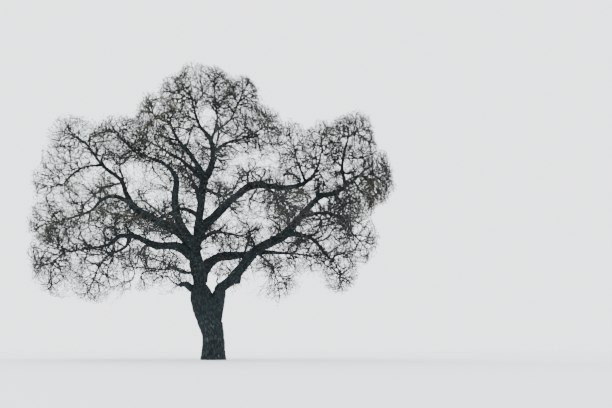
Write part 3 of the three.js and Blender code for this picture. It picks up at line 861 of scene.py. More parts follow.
class Growth:
    """Twigs of a mass or of a side of the crown, in the order that they grew, and the joints that
    more can grow from, with room for a number of them."""

    def __init__(self, room):
        self.joint_count = 0
        self.point = np.zeros((room, 3))
        self.along = np.zeros((room, 3))
        self.radius = np.zeros(room)
        self.path = np.zeros(room)
        self.square = np.zeros(room)
        self.fixed_cost = np.zeros(room)
        self.twig = np.full(room, -1)
        self.slot = np.zeros(room, int)
        self.starts, self.bends, self.ends = [], [], []
        self.parents, self.slots, self.paths = [], [], []
        self.root_radii = []
        self.stems = []
        self.reach = 0
        self.held_back = []

    def offer(self, points, alongs, radii, paths, twig, slots):
        """Joints that twigs can grow from, with the twig and the place along it that each is on."""
        last = self.joint_count + len(points)
        rows = slice(self.joint_count, last)
        self.point[rows] = points
        self.along[rows] = alongs
        self.radius[rows] = radii
        self.path[rows] = paths
        self.square[rows] = (points ** 2).sum(axis=1)
        self.fixed_cost[rows] = TURN_COST * (points * alongs).sum(axis=1) + PATH_COST * paths
        self.twig[rows] = twig
        self.slot[rows] = slots
        self.joint_count = last

    def cheapest(self, end):
        """The joint that it is cheapest to reach an end from: near, ahead of it and close to its
        root. The part of the cost that doesn't change with the end is kept with the joint."""
        rows = slice(0, self.joint_count)
        apart = self.square[rows] - 2 * (self.point[rows] @ end) + end @ end
        distance = np.sqrt(np.maximum(apart, self.reach ** 2))
        ahead = self.along[rows] @ end
        best = np.argmin((1 + TURN_COST) * distance - TURN_COST * ahead + self.fixed_cost[rows])
        return best, math.sqrt(max(apart[best], 0))

    def bend_towards(self, joint, end, distance, lean, wobble):
        """Where a new twig bends: half way, pushed on as its joint heads and a little aside."""
        start = self.point[joint]
        way = (end - start) / distance
        push = (self.along[joint] - way) * CARRY_ON + lean * wobble
        return (start + end) / 2 + push * distance

    def girth_from(self, joint, distance):
        """The radius of a new twig where it leaves its joint."""
        return min(LEAST_GIRTH + GIRTH_PER_LENGTH * distance, self.radius[joint] * MOST_OF_PARENT)

    def add(self, joint, bend, end, distance, least_joint):
        """Grows a twig from a joint. Its own joints are offered, the thin ones later on."""
        start = self.point[joint].copy()
        number = len(self.starts)
        parts = np.array(JOINTS_ALONG_TWIG)
        early = parts < 0.5
        points = twig_points(start, bend, end, parts)
        alongs = np.where(early[:, None], unit(bend - start), unit(end - bend))
        radii = self.girth_from(joint, distance) * value_along((1, AT_BEND, 0), parts)
        paths = self.path[joint] + parts * np.linalg.norm(end - start)
        stout = radii > least_joint
        slots = np.arange(len(parts))
        joints = (points, alongs, np.maximum(radii, THINNEST_JOINT), paths)
        self.offer(*(values[stout] for values in joints), number, slots[stout])
        if not stout.all():
            self.held_back.append([values[~stout] for values in joints] + [number, slots[~stout]])
        self.starts.append(start)
        self.bends.append(bend)
        self.ends.append(end)
        self.parents.append(self.twig[joint])
        self.slots.append(self.slot[joint])
        self.paths.append(self.path[joint])

    def offer_roots(self, points, alongs, radii):
        """Joints on a stem or a bough: they are numbered through the whole growth."""
        numbers = len(self.root_radii) + np.arange(len(points))
        self.offer(points, alongs, radii, 0, -1, numbers)
        self.root_radii += list(radii)

    def take_in(self, first):
        """Carries on from the first twigs of a mass, with their joints and their stem."""
        shift, roots = len(self.starts), len(self.root_radii)
        rows = slice(0, first.joint_count)
        on_stem = first.twig[rows] < 0
        self.offer(first.point[rows], first.along[rows], first.radius[rows], first.path[rows],
            np.where(on_stem, -1, first.twig[rows] + shift), first.slot[rows] + roots * on_stem)
        for parent, slot in zip(first.parents, first.slots):
            self.parents.append(parent + shift if parent >= 0 else -1)
            self.slots.append(slot if parent >= 0 else slot + roots)
        for mine, its in zip((self.starts, self.bends, self.ends, self.paths),
                (first.starts, first.bends, first.ends, first.paths)):
            mine += its
        self.root_radii += first.root_radii
        self.stems.append((first.stem, first.root_radius, roots))

    def offer_held_back(self):
        """The thin joints, for the finer twigs that grow on once all the first ones stand."""
        for joints in self.held_back:
            self.offer(*joints)
        self.held_back = []

    def count_tips(self):
        """Once all twigs have grown: how many tips lie beyond each joint of each twig and beyond
        each root, and which twigs have a free end."""
        self.starts, self.bends, self.ends = map(np.array, (self.starts, self.bends, self.ends))
        self.paths = np.array(self.paths)
        self.at_root = np.zeros(len(self.root_radii))
        self.free = np.zeros(len(self.starts), bool)
        beyond = np.zeros((len(self.starts), len(JOINTS_ALONG_TWIG)))
        for number in reversed(range(len(self.starts))):
            if beyond[number, -1] == 0:
                beyond[number, -1] = 1
                self.free[number] = True
            total = beyond[number].sum()
            parent, slot = self.parents[number], self.slots[number]
            if parent >= 0:
                beyond[parent, slot] += total
            else:
                self.at_root[slot] += total
        self.beyond = np.cumsum(beyond[:, ::-1], axis=1)[:, ::-1]


def twig_points(start, bend, end, parts):
    """Places along a twig, which is straight to its bend and straight from there."""
    parts = np.asarray(parts)[:, None]
    early = start + (bend - start) * parts * 2
    late = bend + (end - bend) * (parts * 2 - 1)
    return np.where(parts < 0.5, early, late)


def stem_curve(space):
    """The stem of a mass carries its bough on, and goes through the mass's middle."""
    along = space.limb.curve.along(1)[0]
    start = space.limb.curve.at(1)[0] + along * CARRY_ON_GAP
    length = np.linalg.norm(space.centre - start)
    on = start + along * length * STEM_STRAIGHT
    past = space.centre + (space.centre - start) * STEM_PAST_CENTRE
    return Curve([start, on, space.centre, past])


def grow_first_twigs(growth, order, space, seed):
    """The twigs that the part's solids have too, in the same places."""
    ends = first_ends(space, seed)
    leans = 2 * evenly_spread(np.arange(FIRST_TRIES), seed + 0.5) - 1
    for end, lean in zip(ends, leans):
        if len(growth.starts) == FIRST_TWIGS:
            break
        joint, distance = growth.cheapest(end)
        bend = growth.bend_towards(joint, end, distance, lean, WOBBLE)
        spots = twig_points(growth.point[joint], bend, end, CHECKED_PARTS)
        clear = clear_of_limbs(spots, growth.girth_from(joint, distance) + LIMB_CLEARANCE).all()
        if distance > LEAST_LENGTH and clear and owned(order, spots).all():
            growth.add(joint, bend, end, distance, LEAST_JOINT)
    growth.offer_held_back()


def first_growth(order):
    """The stem of a mass and its first twigs."""
    space = mass_spaces()[order]
    growth = Growth(len(JOINTS_ALONG_TWIG) * (FIRST_TWIGS + 1) + len(JOINTS_ALONG_STEM))
    growth.stem = stem_curve(space)
    growth.root_radius = space.limb.radius(1)[0]
    parts = np.array(JOINTS_ALONG_STEM)
    girth = value_along((growth.root_radius * STEM_SHRINK, STEM_END_GIRTH), parts)
    growth.offer_roots(growth.stem.at(parts), growth.stem.along(parts), girth)
    grow_first_twigs(growth, order, space, order * SEED_STEP)
    return growth


def grow_fine_twigs(growth, ends, seed):
    """Finer twigs by the same rule, one to each end that a joint is near enough to."""
    growth.reach = FINE_REACH
    leans = 2 * evenly_spread(np.arange(len(ends)), seed + 0.5) - 1
    for end, lean in zip(ends, leans):
        joint, distance = growth.cheapest(end)
        if SHORTEST < distance < LONGEST:
            bend = growth.bend_towards(joint, end, distance, lean, FINE_WOBBLE)
            if end[2] < HANG_BELOW:
                bend[2] += SAG * distance
            growth.add(joint, bend, end, distance, 0)


def limb_roots():
    """Joints along every limb, for the twigs that grow from it: places, headings and girths."""
    places, headings, girths = [], [], []
    for limb in grow_limbs().values():
        count = max(FEWEST_ROOTS, int(limb.length() / ROOT_STEP))
        parts = np.linspace(BOUGH_START, LAST_ROOT, count)
        places.append(limb.curve.at(parts))
        headings.append(limb.curve.along(parts))
        girths.append(limb.radius(parts) * ROOT_SHARE)
    return np.vstack(places), np.vstack(headings), np.concatenate(girths)


@lru_cache(maxsize=None)
def grow_crown(count):
    """The twigs of each side of the crown, grown once for the twigs and the leaves."""
    ends = crown_ends(count)
    sides = sides_of_crown(ends)
    centres, _ = space_arrays()
    roots = limb_roots()
    growths = {}
    for number, side in enumerate(SIDES):
        own = ends[sides == side]
        masses = [first_growth(order) for order in np.nonzero(sides_of_crown(centres) == side)[0]]
        joints = sum(mass.joint_count for mass in masses) + len(roots[0])
        growth = Growth(len(JOINTS_ALONG_TWIG) * len(own) + joints)
        for mass in masses:
            growth.take_in(mass)
        growth.offer_roots(*roots)
        grow_fine_twigs(growth, own, FINE_SEED + number)
        growth.count_tips()
        growths[side] = growth
    return growths


# Twig tubes

Wood = namedtuple("Wood", "points faces girths")


def tube_faces(tubes, rings, sides, pointed):
    """Triangles of many like tubes, each closed at its foot and pointed or capped at its end."""
    ring = np.arange(sides)
    after = (ring + 1) % sides
    full = rings - 1 if pointed else rings
    faces = []
    for row in range(full - 1):
        low, high = row * sides, (row + 1) * sides
        faces.append(np.stack([low + ring, low + after, high + after], axis=1))
        faces.append(np.stack([low + ring, high + after, high + ring], axis=1))
    fan = np.arange(1, sides - 1)
    hub = np.zeros_like(fan)
    faces.append(np.stack([hub, fan + 1, fan], axis=1))
    top = (full - 1) * sides
    if pointed:
        faces.append(np.stack([top + ring, top + after, np.full(sides, full * sides)], axis=1))
    else:
        faces.append(np.stack([top + hub, top + fan, top + fan + 1], axis=1))
    one = np.vstack(faces)
    size = full * sides + (1 if pointed else 0)
    return (one[None] + (np.arange(tubes) * size)[:, None, None]).reshape(-1, 3)


def tube_points(middles, radii, sides, pointed):
    """Corner points of many like tubes. middles is tubes by rings by 3, radii tubes by rings."""
    ways = unit(np.diff(middles, axis=1))
    along = unit(np.concatenate([ways[:, :1], ways[:, :-1] + ways[:, 1:], ways[:, -1:]], axis=1))
    upright = np.abs(along.mean(axis=1)[:, 2]) > NEARLY_ALONG
    reference = np.where(upright[:, None], (1.0, 0.0, 0.0), (0.0, 0.0, 1.0))
    side = unit(np.cross(reference[:, None], along))
    across = np.cross(along, side)
    angle = 2 * np.pi * np.arange(sides) / sides
    out = side[:, :, None] * np.cos(angle)[:, None] + across[:, :, None] * np.sin(angle)[:, None]
    rings = middles[:, :, None] + out * radii[:, :, None, None]
    if not pointed:
        return rings.reshape(len(middles), -1, 3)
    corners = rings[:, :-1].reshape(len(middles), -1, 3)
    return np.concatenate([corners, middles[:, -1:]], axis=1)


def make_tubes(middles, radii, sides, pointed):
    """Many like tubes as one piece of wood, whose girth is kept with each face."""
    corners = tube_points(middles, radii, sides, pointed)
    faces = tube_faces(len(middles), middles.shape[1], sides, pointed)
    stoutness = np.repeat(radii.max(axis=1), len(faces) // max(len(middles), 1))
    return Wood(corners.reshape(-1, 3), faces, stoutness)


def join_wood(pieces):
    """Pieces of wood as one."""
    points, faces, girths, base = [], [], [], 0
    for piece in pieces:
        points.append(piece.points)
        faces.append(piece.faces + base)
        girths.append(piece.girths)
        base += len(piece.points)
    return Wood(np.vstack(points), np.vstack(faces), np.concatenate(girths))


def twig_radii(growth, tip_radius):
    """A twig is as thick as the tips that it feeds need, and thinner than what carries it."""
    tips = np.concatenate([growth.beyond[:, :1], growth.beyond], axis=1)
    radii = tip_radius * tips ** THICKENING
    for number, (parent, slot) in enumerate(zip(growth.parents, growth.slots)):
        carrier = radii[parent, slot + 1] if parent >= 0 else growth.root_radii[slot]
        radii[number] *= min(1, MOST_OF_CARRIER * carrier / radii[number, 0])
    return np.maximum(radii, tip_radius * THINNEST_TIP)


def swayed(points, paths):
    """Slow bends shared by neighbouring twigs, from none at a bough to all of them further out."""
    free = np.clip(paths / SWAY_FREE, 0, 1)[:, None]
    pushes = sum(np.sin(points @ np.array(course) + turn)[:, None] * np.array(way)
        for course, way, turn in SWAYS)
    return points + pushes * free


def twig_place(growth, chosen, part):
    """A place along each chosen twig, with a small crook between its joints."""
    start, bend, end = growth.starts[chosen], growth.bends[chosen], growth.ends[chosen]
    place = twig_points(start, bend, end, np.full(len(chosen), part))
    length = np.linalg.norm(end - start, axis=1)
    if part not in TWIG_KNOTS:
        lean = 2 * evenly_spread(chosen, part + 1) - 1
        place += lean * length[:, None] * CROOK
    return swayed(place, growth.paths[chosen] + part * length)


def grown_twigs(growth, tip_radius):
    """Tubes for the twigs of one growth: finer ones with fewer rings and sides."""
    radii = twig_radii(growth, tip_radius)
    tips = growth.beyond[:, 0]
    pieces = []
    for least, most, parts, sides in TWIG_GRADES:
        for pointed in (True, False):
            chosen = np.nonzero((tips >= least) & (tips < most) & (growth.free == pointed))[0]
            if len(chosen) == 0:
                continue
            middles = np.stack([twig_place(growth, chosen, part) for part in parts], axis=1)
            girth = np.array([np.interp(parts, TWIG_KNOTS, row) for row in radii[chosen]])
            if len(parts) == 2:
                girth[:, 0] *= SPIKE_FOOT
            pieces.append(make_tubes(middles, girth, sides, pointed))
    pieces += [stem_tube(growth, tip_radius, *stem) for stem in growth.stems]
    return join_wood(pieces)


def stem_tube(growth, tip_radius, stem, root_radius, first_root):
    """The stem of a mass, from its bough's end radius down to a tip's."""
    roots = growth.at_root[first_root:first_root + len(JOINTS_ALONG_STEM)]
    tips = np.concatenate([[roots.sum() + 1], 1 + np.cumsum(roots[::-1])[::-1], [1]])
    power = math.log(root_radius / tip_radius) / math.log(max(tips[0], 3))
    parts = np.linspace(0, 1, MASS_STEM_RINGS)
    radii = np.interp(parts, (0, *JOINTS_ALONG_STEM, 1), tip_radius * tips ** power)
    return make_tubes(stem.at(parts)[None], radii[None], MASS_STEM_SIDES, False)


# Limbs, stout and thin

Axis = namedtuple("Axis", "points along side across radius distance limb")


def limb_axis(limb):
    """Evenly spaced samples of a limb's middle line, with frames that turn as little as may be."""
    parts = np.linspace(0, 1, max(int(limb.length() / AXIS_STEP), FEWEST_ROWS))
    points = limb.curve.at(parts)
    along = limb.curve.along(parts)
    side = np.array((0.0, 1.0, 0.0) if abs(along[0, 0]) > NEARLY_ALONG else (1.0, 0.0, 0.0))
    sides = []
    for way in along:
        side = unit(side - way * (side @ way))
        sides.append(side)
    sides = np.array(sides)
    steps = np.linalg.norm(np.diff(points, axis=0), axis=1)
    distance = np.concatenate([[0], np.cumsum(steps)])
    radius = limb.radius(parts) * collar(limb, distance)
    return Axis(points, along, sides, np.cross(sides, along), radius, distance, limb)


def collar(limb, distance):
    """A bough swells where it leaves the limb that it grows on."""
    if limb.parent is None or limb.parent.in_trunk:
        return np.ones(len(distance))
    parts = np.linspace(0, 1, COLLAR_SAMPLES)
    points = limb.parent.curve.at(parts)
    nearest = np.argmin(np.linalg.norm(points - limb.curve.at(0)[0], axis=1))
    from_bark = (distance - limb.parent.radius(parts)[nearest]) / limb.radius(0)[0]
    return 1 + COLLAR * np.exp(-np.clip(from_bark, 0, None) / COLLAR_LENGTH)


@lru_cache(maxsize=None)
def limb_axes():
    """Every limb's axis, cut where it gets thin: the stout parts, and the thin parts, which start a
    little way inside them."""
    stout, thin = [], []
    for limb in grow_limbs().values():
        axis = limb_axis(limb)
        girth = limb.radius(np.linspace(0, 1, len(axis.points)))
        last = np.max(np.nonzero(girth > STOUT)[0], initial=-1)
        if last < OVERLAP_ROWS:
            thin.append(axis)
            continue
        stout.append(cut_axis(axis, slice(last + 1)))
        if last < len(axis.points) - 2:
            thin.append(cut_axis(axis, slice(last - OVERLAP_ROWS, None)))
    return stout, thin


def cut_axis(axis, rows):
    """Some rows of an axis."""
    return Axis(*(values[rows] for values in axis[:-1]), axis.limb)


def flare_shape(angle, height):
    """How far the trunk's foot swells out between its roots, by angle and height."""
    above = np.maximum(height, 0)
    swell = FLARE["swell"] * np.exp(-above / FLARE["height"])
    lobe = FLARE["lobe_depth"] * np.exp(-above / FLARE["lobe_height"])
    return 1 + swell + lobe * np.cos(FLARE["lobes"] * angle + FLARE["turn"])


def axis_tube(axis, rows, sides, shaped):
    """One closed tube round some rows of an axis."""
    angle = 2 * np.pi * np.arange(sides) / sides
    radius = np.repeat(axis.radius[rows][:, None], sides, axis=1)
    if shaped:
        radius = radius * flare_shape(angle[None], axis.points[rows][:, 2:3])
    out = (axis.side[rows][:, None] * np.cos(angle)[:, None]
        + axis.across[rows][:, None] * np.sin(angle)[:, None])
    points = (axis.points[rows][:, None] + out * radius[..., None]).reshape(-1, 3)
    faces = tube_faces(1, len(rows), sides, False)[:, ::-1]
    return Wood(points, faces, np.zeros(len(faces)))


def stout_wood(axes, below=np.inf, above=-np.inf):
    """Tubes round the stout limbs, of which only the rows between two heights are made."""
    tubes = []
    for axis in axes:
        height = axis.points[:, 2]
        rows = np.nonzero((height < below) & (height > above))[0]
        if len(rows) > 2:
            rows = np.arange(rows[0], rows[-1] + 1)
            shaped = axis.limb.name == "stem"
            tubes.append(axis_tube(axis, rows, TRUNK_SIDES if shaped else STOUT_SIDES, shaped))
    return join_wood(tubes + [broken_knob()])


def broken_knob():
    """What is left of a limb that broke off under the right bough."""
    middles = np.array([slide(across, up, 0) for across, up in KNOB_BENDS])
    return make_tubes(middles[None], np.array(KNOB_GIRTH)[None], KNOB_SIDES, False)


def thin_wood(axes):
    """Tubes round the thin limbs and the thin ends of stout ones."""
    return join_wood([axis_tube(axis, np.arange(len(axis.points)), THIN_SIDES, False)
        for axis in axes])


# Bark

def voxel_skin(wood, voxel):
    """One closed skin over tubes that run into each other."""
    mesh = mesh_of("skin", wood.points, [wood.faces])
    holder = bpy.data.objects.new("skin", mesh)
    bpy.context.scene.collection.objects.link(holder)
    remesh = holder.modifiers.new("skin", "REMESH")
    remesh.mode = "VOXEL"
    remesh.voxel_size = voxel
    evaluated = holder.evaluated_get(bpy.context.evaluated_depsgraph_get())
    skin = evaluated.to_mesh()
    points = np.empty(len(skin.vertices) * 3)
    skin.vertices.foreach_get("co", points)
    corners = np.empty(len(skin.loops), int)
    skin.loops.foreach_get("vertex_index", corners)
    if len(corners) != 4 * len(skin.polygons):
        raise RuntimeError("the skin has faces that are not four-sided")
    evaluated.to_mesh_clear()
    bpy.data.objects.remove(holder)
    bpy.data.meshes.remove(mesh)
    return points.reshape(-1, 3), corners.reshape(-1, 4)


def smoothed(points, faces, rounds):
    """Points drawn towards the middle of their neighbours, and then part of the way back."""
    ends = np.vstack([faces[:, [0, 1]], faces[:, [1, 2]], faces[:, [2, 3]], faces[:, [3, 0]]])
    ends = np.vstack([ends, ends[:, ::-1]])
    neighbours = np.maximum(np.bincount(ends[:, 0], minlength=len(points)), 1)
    for share in (SMOOTH_IN, SMOOTH_BACK) * rounds:
        middle = np.stack([
            np.bincount(ends[:, 0], weights=points[ends[:, 1], axis], minlength=len(points))
            for axis in range(3)
        ], axis=1) / neighbours[:, None]
        points = points + (middle - points) * share
    return points


def nearest_samples(points, axes):
    """For each point the sample of the axis whose bark it is nearest to."""
    places = np.vstack([axis.points for axis in axes])
    radii = np.concatenate([axis.radius for axis in axes])
    square = (places ** 2).sum(axis=1)
    nearest = np.empty(len(points), int)
    for first in range(0, len(points), SAMPLES_AT_ONCE):
        rows = slice(first, first + SAMPLES_AT_ONCE)
        apart = (points[rows] ** 2).sum(axis=1)[:, None] + square - 2 * points[rows] @ places.T
        depth = np.sqrt(np.maximum(apart, 0)) - radii
        nearest[rows] = np.argmin(depth, axis=1)
    return nearest


def grain_places(points, axes):
    """Where each point would lie if its limb were straightened: round it in the first two
    numbers and along it in the third. Also the limb's radius there."""
    nearest = nearest_samples(points, axes)
    gather = {name: np.concatenate([getattr(axis, name) for axis in axes])[nearest]
        for name in ("points", "along", "side", "across", "radius", "distance")}
    order = np.repeat(np.arange(len(axes)), [len(axis.points) for axis in axes])[nearest]
    away = points - gather["points"]
    along, side, across = ((away * gather[way]).sum(axis=1) for way in ("along", "side", "across"))
    radius = gather["radius"]
    level = np.maximum(np.hypot(side, across), 1e-6)
    grain = np.stack([
        side / level * radius,
        across / level * radius,
        gather["distance"] + along + LIMB_SHIFT * order,
    ], axis=1)
    return grain, radius


def pattern_spot(x, y, z, pattern):
    """Where in a pattern a place in the grain lies."""
    fineness, fineness_along, shift = pattern
    return Vector((x * fineness, y * fineness, z * fineness_along + shift))


def bark_relief(grain, radius, depth):
    """How far the bark stands out at each point, and how high on a ridge it is, from 0 to 1."""
    lift = np.empty(len(grain))
    ridge = np.empty(len(grain))
    swell = np.empty(len(grain))
    plate = np.interp(radius, *PLATE_SCALES)
    strength = np.interp(radius, *DEPTH_SHARES) * depth
    for index, (x, y, z) in enumerate(grain):
        turn = noise.noise(pattern_spot(x, y, z, WANDER)) * WANDER_SIZE
        scale = plate[index]
        spot = Vector(((x + turn) * scale, (y - turn) * scale, z * scale * PLATE_STRETCH))
        nearest, next_nearest = noise.voronoi(spot)[0][:2]
        top = min(max((next_nearest - nearest) / CRACK_WIDTH, 0.0), 1.0)
        top = top * top * (3 - 2 * top)
        rough = noise.fractal(pattern_spot(x, y, z, ROUGHNESS), 1.0, 2.0, 3)
        lumps = noise.noise(pattern_spot(x, y, z, LUMPS))
        flutes = noise.noise(pattern_spot(x, y, z, FLUTES))
        burr = max(1 - noise.voronoi(pattern_spot(x, y, z, BURRS))[0][0] / BURR_WIDTH, 0.0)
        ridge[index] = min(max(top * (RIDGE_BASE + RIDGE_ROUGH * rough), 0.0), 1.0)
        lift[index] = (top - PLATE_LEVEL + ROUGH_SIZE * rough + LUMP_SIZE * lumps
            + FLUTE_SIZE * flutes)
        swell[index] = GNARL * lumps + BURR * burr ** 2
    return lift * strength + swell * np.minimum(radius, MOST_GNARLED), ridge


def barked(points, face_groups, axes, depth):
    """A mesh with the bark's relief, which also keeps where its grain runs for the finish."""
    mesh = mesh_of("bark", points, face_groups, smooth=True)
    normals = np.empty(len(points) * 3, dtype=np.float32)
    mesh.vertices.foreach_get("normal", normals)
    grain, radius = grain_places(points, axes)
    lift, ridge = bark_relief(grain, radius, depth)
    raised = points + normals.reshape(-1, 3) * lift[:, None]
    mesh.vertices.foreach_set("co", raised.astype(np.float32).ravel())
    grain_layer = mesh.attributes.new("grain", "FLOAT_VECTOR", "POINT")
    grain_layer.data.foreach_set("vector", grain.astype(np.float32).ravel())
    ridge_layer = mesh.attributes.new("ridge", "FLOAT", "POINT")
    ridge_layer.data.foreach_set("value", ridge.astype(np.float32))
    mesh.update()
    return mesh


def cut_level(mesh, height, keep_above):
    """Cuts a mesh level at a height and closes it there."""
    work = bmesh.new()
    work.from_mesh(mesh)
    everything = work.verts[:] + work.edges[:] + work.faces[:]
    bmesh.ops.bisect_plane(work, geom=everything, dist=1e-5, plane_co=(0, 0, height),
        plane_no=(0, 0, 1), clear_inner=keep_above, clear_outer=not keep_above)
    rim = [edge for edge in work.edges if edge.is_boundary]
    bmesh.ops.holes_fill(work, edges=rim, sides=0)
    work.to_mesh(mesh)
    work.free()
    mesh.update()


# Young leaves

def spray_of_each(growth):
    """The number of the spray that each twig belongs to: a fine twig on a stout one starts it."""
    sprays = np.arange(len(growth.parents))
    for number, parent in enumerate(growth.parents):
        if parent >= 0 and growth.beyond[parent, 0] < SPRAY_TIPS:
            sprays[number] = sprays[parent]
    return sprays


def tint_of_sprays(growth, sprays, rng):
    """A tint for each spray: more of the warm ones where the photo's crown has them."""
    seen = as_seen(growth.starts[sprays])
    warm = np.zeros(len(seen))
    for across, up, reach, strength in WARM_PLACES:
        miss = ((seen - (across, up)) ** 2).sum(axis=1) / reach ** 2
        warm += strength * np.exp(-miss)
    luck = rng.random(len(growth.parents))[sprays]
    shares = np.array(TINT_SHARES)[None] * np.array(TINT_WARMTH)[None] ** warm[:, None]
    edges = np.cumsum(shares / shares.sum(axis=1, keepdims=True), axis=1)
    return (luck[:, None] > edges[:, :-1]).sum(axis=1)


def grown_leaves(growth, rng, per_tip, length):
    """Young leaves along the last of each shoot, most near its tip: corner points and tints."""
    ends = np.nonzero(growth.free)[0]
    tints = tint_of_sprays(growth, spray_of_each(growth), rng)
    ends = np.repeat(ends, rng.poisson(per_tip, len(ends)).clip(0, MOST_LEAVES))
    tips = twig_place(growth, ends, 1.0)
    lone = growth.beyond[ends, :1] < TWIG_GRADES[0][1]
    last_bend = np.where(lone, twig_place(growth, ends, 0.0), twig_place(growth, ends, 0.5))
    way = unit(tips - last_bend)
    shoot = np.minimum(np.linalg.norm(tips - last_bend, axis=1), LEAFY_LENGTH)
    heading = unit(way + rng.normal(0, LEAF_SCATTER, (len(ends), 3)))
    face = unit(np.cross(heading, rng.normal(0, 1, (len(ends), 3))))
    side = np.cross(heading, face)
    size = length * rng.uniform(*LEAF_SIZES, len(ends))[:, None, None]
    foot = tips - way * (shoot * rng.uniform(*LEAF_PLACES, len(ends)) ** LEAF_GATHER)[:, None]
    outline = np.array(LEAF_OUTLINE)
    points = foot[:, None] + size * (heading[:, None] * outline[:, :1]
        + side[:, None] * outline[:, 1:2] + face[:, None] * outline[:, 2:])
    return points, tints[ends]


# Meshes

def mesh_of(name, points, face_groups, tints=None, smooth=False):
    """A mesh from arrays: each group holds faces with the same number of corners."""
    mesh = bpy.data.meshes.new(name)
    mesh.vertices.add(len(points))
    mesh.vertices.foreach_set("co", np.ascontiguousarray(points, dtype=np.float32).ravel())
    corners = np.concatenate([faces.ravel() for faces in face_groups])
    sizes = np.concatenate([np.full(len(faces), faces.shape[1]) for faces in face_groups])
    mesh.loops.add(len(corners))
    mesh.loops.foreach_set("vertex_index", corners.astype(np.int32))
    mesh.polygons.add(len(sizes))
    starts = np.concatenate([[0], np.cumsum(sizes)[:-1]])
    mesh.polygons.foreach_set("loop_start", starts.astype(np.int32))
    if tints is not None:
        mesh.polygons.foreach_set("material_index", np.asarray(tints, dtype=np.int32))
    mesh.polygons.foreach_set("use_smooth", np.full(len(sizes), smooth))
    mesh.update(calc_edges=True)
    mesh.validate()
    return mesh


def place_piece(name, mesh, materials, replaced):
    """Puts a mesh in the scene as a piece of the tree that stands for some of its solids."""
    triangles = sum(len(face.vertices) - 2 for face in mesh.polygons)
    if triangles > MOST_TRIANGLES:
        raise RuntimeError(f"{name} has {triangles} triangles, over {MOST_TRIANGLES}")
    piece = bpy.data.objects.new(name, mesh)
    bpy.context.scene.collection.objects.link(piece)
    for material in materials:
        mesh.materials.append(material)
    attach(piece, "root")
    if replaced:
        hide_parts(*replaced)


def sides_of_crown(points):
    """The side of the crown that each point is counted with, so that pieces stay a fair size."""
    across, deep, up = points.T
    at = PARTING
    level = np.select(
        [deep < at["front"], deep > at["back"], across < at["left"], up < at["right_low"]],
        ["front", "back", "left", "right_low"], "right")
    top = np.where(across < at["top_left"], "top_left", "top_right")
    return np.where(up > at["top"], top, level)


def nodes_on(side):
    """The part's nodes of twigs whose masses lie on a side of the crown."""
    spaces = mass_spaces()
    sides = sides_of_crown(np.array([space.centre for space in spaces]))
    return [f"twigs_{space.limb.name}" for space, its in zip(spaces, sides) if its == side]


# Finishes

class Socket:
    """A node's output that takes part in sums. Each step of a sum adds a Math node."""

    def __init__(self, finish, output):
        self.finish = finish
        self.output = output

    def _sum(self, operation, first, second):
        return self.finish.node("ShaderNodeMath", {"operation": operation}, {0: first, 1: second})

    def __add__(self, other):
        return self._sum("ADD", self, other)

    def __radd__(self, other):
        return self._sum("ADD", other, self)

    def __sub__(self, other):
        return self._sum("SUBTRACT", self, other)

    def __rsub__(self, other):
        return self._sum("SUBTRACT", other, self)

    def __mul__(self, other):
        return self._sum("MULTIPLY", self, other)

    def __rmul__(self, other):
        return self._sum("MULTIPLY", other, self)

    def __truediv__(self, other):
        return self._sum("DIVIDE", self, other)

    def __rtruediv__(self, other):
        return self._sum("DIVIDE", other, self)

    def between(self, low, high):
        """0 below low, 1 above high, and a smooth step from one to the other."""
        settings = {"interpolation_type": "SMOOTHSTEP"}
        sockets = {"Value": self, "From Min": low, "From Max": high}
        return self.finish.node("ShaderNodeMapRange", settings, sockets)


class Finish:
    """A material made of nodes, with one surface shader."""

    def __init__(self, name):
        self.material = bpy.data.materials.new(name)
        self.material.use_nodes = True
        self.tree = self.material.node_tree
        self.tree.nodes.clear()

    def node(self, kind, settings=None, sockets=None, output=0):
        """Adds any node: its settings first, then the values or links of its sockets."""
        node = self.tree.nodes.new(kind)
        for name, value in (settings or {}).items():
            setattr(node, name, value)
        for name, value in (sockets or {}).items():
            if isinstance(value, Socket):
                self.tree.links.new(value.output, node.inputs[name])
            else:
                node.inputs[name].default_value = value
        return Socket(self, node.outputs[output])

    def mix(self, share, first, second):
        """The first colour where share is 0 and the second where it is 1."""
        sockets = {0: share, 6: first, 7: second}
        return self.node("ShaderNodeMix", {"data_type": "RGBA"}, sockets, output=2)

    def place(self):
        """Where in the scene the surface is."""
        return self.node("ShaderNodeNewGeometry", output="Position")

    def grit(self, vector, scale, detail, roughness=0.6):
        """Uneven noise, from 0 to 1."""
        sockets = {"Vector": vector, "Scale": scale, "Detail": detail, "Roughness": roughness}
        return self.node("ShaderNodeTexNoise", None, sockets)

    def surface(self, shine, **sockets):
        """The surface shader and the material's output, at the end of every finish."""
        named = {name.replace("_", " ").title(): value for name, value in sockets.items()}
        named["Specular IOR Level"] = shine
        shader = self.node("ShaderNodeBsdfPrincipled", None, named)
        output = self.tree.nodes.new("ShaderNodeOutputMaterial")
        self.tree.links.new(shader.output, output.inputs["Surface"])
        return self.material


